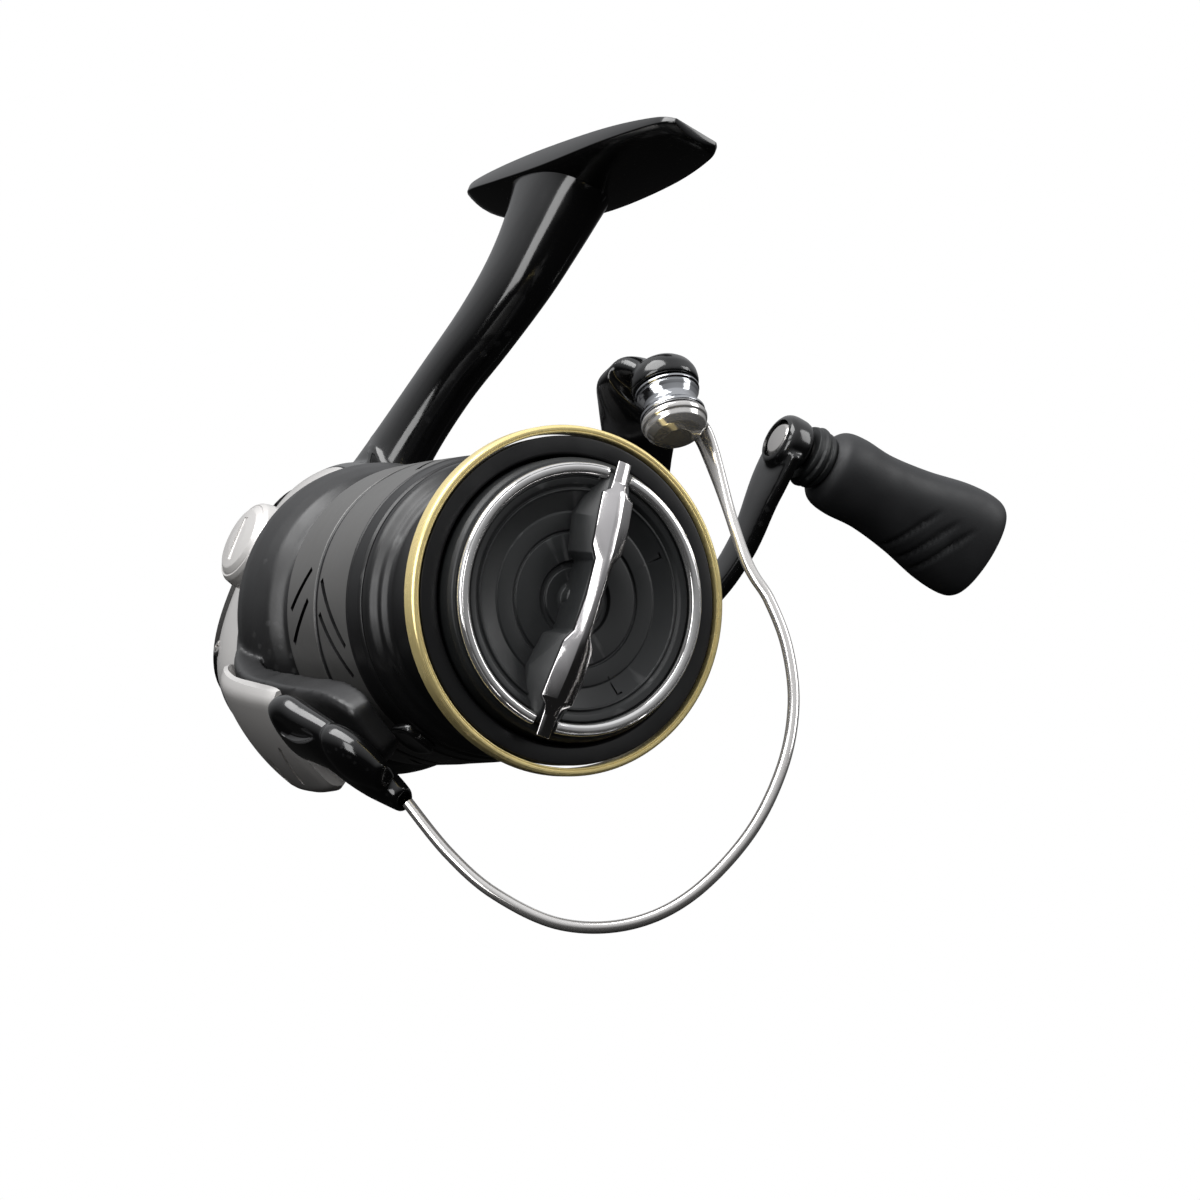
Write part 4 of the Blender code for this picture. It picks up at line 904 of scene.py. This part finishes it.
def make_housing():
    stem = loft("stem", PLAIN, [((0, back, up), (1, 0, 0), (0, along[1], -along[0]), half_wide, half_deep,
                                 2.3)
                                for back, up, along, half_deep, half_wide in STEM], 48, 6)
    rows = []
    for i in range(61):
        back, wide, low = curve_through(FOOT, i / 60)
        top = SEAT_UP + 0.15
        rows.append([Vector((across * wide, back, top if upper else low + across * across * 0.9))
                     for across,
                     upper in ((-1, 1), (-1, 0), (-0.8, 0), (-0.5, 0), (-0.2, 0), (0.2, 0), (0.5, 0),
                                           (0.8, 0), (1, 0), (1, 1))])
    collar = turned("collar", SPOOL, [(0, -57.0), (11.3, -57.0), (11.8, -57.6), (11.8, -64.6), (0, -64.6)],
                    96, 0.2)
    rib = loft("stem_rib", PLAIN, [
        ((0, back, up), (1, 0, 0), (0, 0.6, 0.8), half_wide, half_deep, 2.2)
        for back, up, half_deep,
        half_wide in ((72.0, 21.0, 3.0, 6.5), (76.0, 25.5, 5.0, 6.0), (80.0, 28.0, 5.5, 5.0))],
        40, 5)
    foot = bevelled(skin("foot", PLAIN, rows), 0.35, 3)
    housing = melt("housing", [shell("hull", 0.0, domed=1.2), stem, collar, rib], 0.45, 8)
    carve(housing, foot, operation="UNION", angle=40)
    notch = loft("notch", PLAIN, [((-11.3, back, up), (0.7, 0, 0.7), (0, 1, 0), 0.6 + h, h, 2.0)
                                  for back, up,
                                  h in ((70.0, 19.6, 0.5), (74.0, 20.7, 1.3), (78.5, 21.4, 1.2),
                                                      (82.0, 21.7, 0.5))], 32, 4)
    cutters = [shell("cavity", *WALLS), side_of_split("cover_side", False), notch,
               turned("collar_bore", SPOOL, [(0, -55.0), (8.4, -55.0), (8.4, -67.0), (0, -67.0)], 64, 0),
               turned("bearing_seat", CRANK,
                      [(0, 15.0), (3.6, 15.0), (3.6, 12.3), (BEARING_R, 12.3), (BEARING_R, 8.0), (0, 8.0)],
                      64, 0)]
    carve(housing, *cutters, angle=40)
    piece(housing, "frame", "gloss_black", "body_frame")

    cover = shell("cover", 0.0, around=96, per_span=9, domed=1.2)
    boss = turned("boss", CRANK,
                  [(0, -9.3), (8.8, -9.3), (8.8, -12.6), (8.4, -13.2), (7.4, -13.4), (0, -13.4)],
                  96, 0.4)
    cover = melt("side_plate", [cover, boss], 0.42, 5)
    carve(cover, shell("cover_hollow", *WALLS), side_of_split("frame_side", True),
          turned("cover_bore", CRANK,
                 [(0, -8.0), (BEARING_R, -8.0), (BEARING_R, -12.3), (3.6, -12.3), (3.6, -15.0), (0, -15.0)],
                 64, 0),
          turned("collar_room", SPOOL, [(0, -60.0), (12.3, -60.0), (12.3, -67.0), (0, -67.0)], 64, 0),
          angle=40)
    piece(cover, "frame", "silver_satin", "side_cover")

    guard = shell("tail_guard", -1.1, rear=-1.3, around=96, per_span=8, domed=1.0)
    carve(guard, shell("guard_hollow", -0.3, rear=-0.3),
          block("guard_mouth", PLAIN @ move(0, 78.75, 0), (40, 37.5, 60)))
    piece(guard, "frame", "gloss_black", "rear_guard")

    cap = turned("axle_cap", CRANK, [
        (0, -16.0), (2.8, -16.0), (2.8, -13.6), (6.4, -13.6), (6.7, -14.2), (6.75, -16.6), (6.4, -18.0),
        (5.9, -18.6), (5.7, -18.5), (5.5, -18.7), (4.8, -19.2), (2.4, -19.5), (0, -19.6)], 128, 0.15)
    carve(cap, block("coin_slot", CRANK @ move(0, 0, -19.7), (7.0, 1.3, 1.0), 0.2))
    piece(cap, "crank", "silver_satin", "handle_cap")
    for index, (back, up) in enumerate(COVER_SCREWS):
        spot = PLAIN @ move(0, back, up) @ ALONG_X
        screw = turned("screw_%d" % (index + 1), spot, [
            (0, -6.4), (0.7, -6.4), (0.7, -9.7), (1.5, -9.7), (1.5, -10.3), (1.1, -10.6), (0, -10.65)], 48,
            0.1)
        carve(screw, block("cross_a", spot @ move(0, 0, -10.6), (1.8, 0.35, 0.7)),
              block("cross_b", spot @ move(0, 0, -10.6), (0.35, 1.8, 0.7)))
        piece(screw, "frame", "steel", "cover_screw_%d" % (index + 1))


# ---- carried over nodes --------------------------------------------------------------------------
def finish_nodes():
    """Every node that still shows takes the material of its slot."""
    slots = {part["node"]: part["material_slot"] for part in frame["record"]["subparts"]}
    for name, node in frame["nodes"].items():
        look = FINISHES[SLOT_FINISH.get(slots[name], slots[name])]
        node.data.materials.clear()
        node.data.materials.append(look)


# ---- camera, light, floor ------------------------------------------------------------------------
CAMERA_OFFSET = Vector((-170.0, -371.3, -98.2))    # from the lip centre, mm
CAMERA_AXES = Matrix(((0.807, -0.422, -0.412), (-0.474, -0.046, -0.880), (0.352, 0.905, -0.237)))
LENS, SENSOR = 96.54, 36.0
LAMPS = (                         # right, up and toward the camera in metres; size in metres; watts
    ("key", (-0.30, 0.60, 0.22), (0.6, 0.5), 5.8),
    ("side", (0.65, 0.30, 0.10), (0.3, 0.45), 1.7),
    ("front", (-0.40, 0.12, 0.60), (0.35, 0.5), 2.8))
ROOM_RAMP = ((0.42, (0.012, 0.012, 0.012, 1)), (0.90, (0.80, 0.81, 0.83, 1)))    # dark below, pale above
FLOOR_DROP = 0.085                # floor below the lowest point of the reel, metres
FLOOR_HALF = 3.0                  # half the side of the floor, metres


def make_camera():
    data = bpy.data.cameras.new("camera")
    data.lens = LENS
    data.sensor_width = SENSOR
    data.clip_start, data.clip_end = 0.01, 20.0
    camera = bpy.data.objects.new("camera", data)
    bpy.context.scene.collection.objects.link(camera)
    back = CAMERA_AXES.col[2].normalized()
    right = (CAMERA_AXES.col[0] - back * CAMERA_AXES.col[0].dot(back)).normalized()
    axes = Matrix((right, back.cross(right), back)).transposed()
    camera.matrix_world = Matrix.Translation(LIP + CAMERA_OFFSET * MM) @ axes.to_4x4()
    bpy.context.scene.camera = camera
    return axes


def make_light(name, axes, offset, size, power, target):
    """Soft rectangular lamp; its offset is given right, up and toward the camera, in metres."""
    data = bpy.data.lights.new(name, "AREA")
    data.shape = "RECTANGLE"
    data.size, data.size_y = size
    data.energy = power
    lamp = bpy.data.objects.new(name, data)
    bpy.context.scene.collection.objects.link(lamp)
    lamp.location = target + axes @ Vector(offset)
    lamp.rotation_mode = "QUATERNION"
    lamp.rotation_quaternion = (lamp.location - target).to_track_quat("Z", "Y")


def make_studio(axes):
    low, high = CAD_BOX
    target = (low + high) / 2
    for name, offset, size, power in LAMPS:
        make_light(name, axes, offset, size, power, target)
    world = bpy.data.worlds.new("studio")
    bpy.context.scene.world = world
    world.use_nodes = True
    nodes, links = world.node_tree.nodes, world.node_tree.links
    backdrop = nodes["Background"]
    backdrop.inputs["Color"].default_value = (1.0, 1.0, 1.0, 1.0)
    room = nodes.new("ShaderNodeBackground")
    where = nodes.new("ShaderNodeTexCoord").outputs["Generated"]
    height = nodes.new("ShaderNodeVectorMath")
    height.operation = "DOT_PRODUCT"
    height.inputs[1].default_value = axes.col[1]
    links.new(where, height.inputs[0])
    ramp = nodes.new("ShaderNodeValToRGB")
    for element, (position, colour) in zip(ramp.color_ramp.elements, ROOM_RAMP):
        element.position = position
        element.color = colour
    half = nodes.new("ShaderNodeMapRange")
    half.inputs["From Min"].default_value = -1.0
    links.new(height.outputs["Value"], half.inputs["Value"])
    links.new(half.outputs["Result"], ramp.inputs["Fac"])
    links.new(ramp.outputs["Color"], room.inputs["Color"])
    seen = nodes.new("ShaderNodeLightPath").outputs["Is Camera Ray"]
    choose = nodes.new("ShaderNodeMixShader")
    links.new(seen, choose.inputs["Fac"])
    links.new(room.outputs["Background"], choose.inputs[1])
    links.new(backdrop.outputs["Background"], choose.inputs[2])
    links.new(choose.outputs["Shader"], nodes["World Output"].inputs["Surface"])

    shape = bmesh.new()
    bmesh.ops.create_grid(shape, x_segments=1, y_segments=1, size=FLOOR_HALF)
    mesh = bpy.data.meshes.new("floor")
    shape.to_mesh(mesh)
    shape.free()
    floor = bpy.data.objects.new("floor", mesh)
    bpy.context.scene.collection.objects.link(floor)
    floor.location = (0, 0, low.z - FLOOR_DROP)
    mesh.materials.append(finish("floor_paper", (0.86, 0.86, 0.86), 0.0, 0.7, drift=0.01, grain=0.05,
                                 pitch=1.0))
    floor.visible_diffuse = False
    floor.visible_glossy = False
    bpy.context.scene.view_settings.view_transform = "Standard"


finish_nodes()
make_spool()
make_drag_knob()
make_rotor()
make_arm_covers()
make_wire()
make_cam()
make_lever()
make_handle()
make_housing()
make_studio(make_camera())
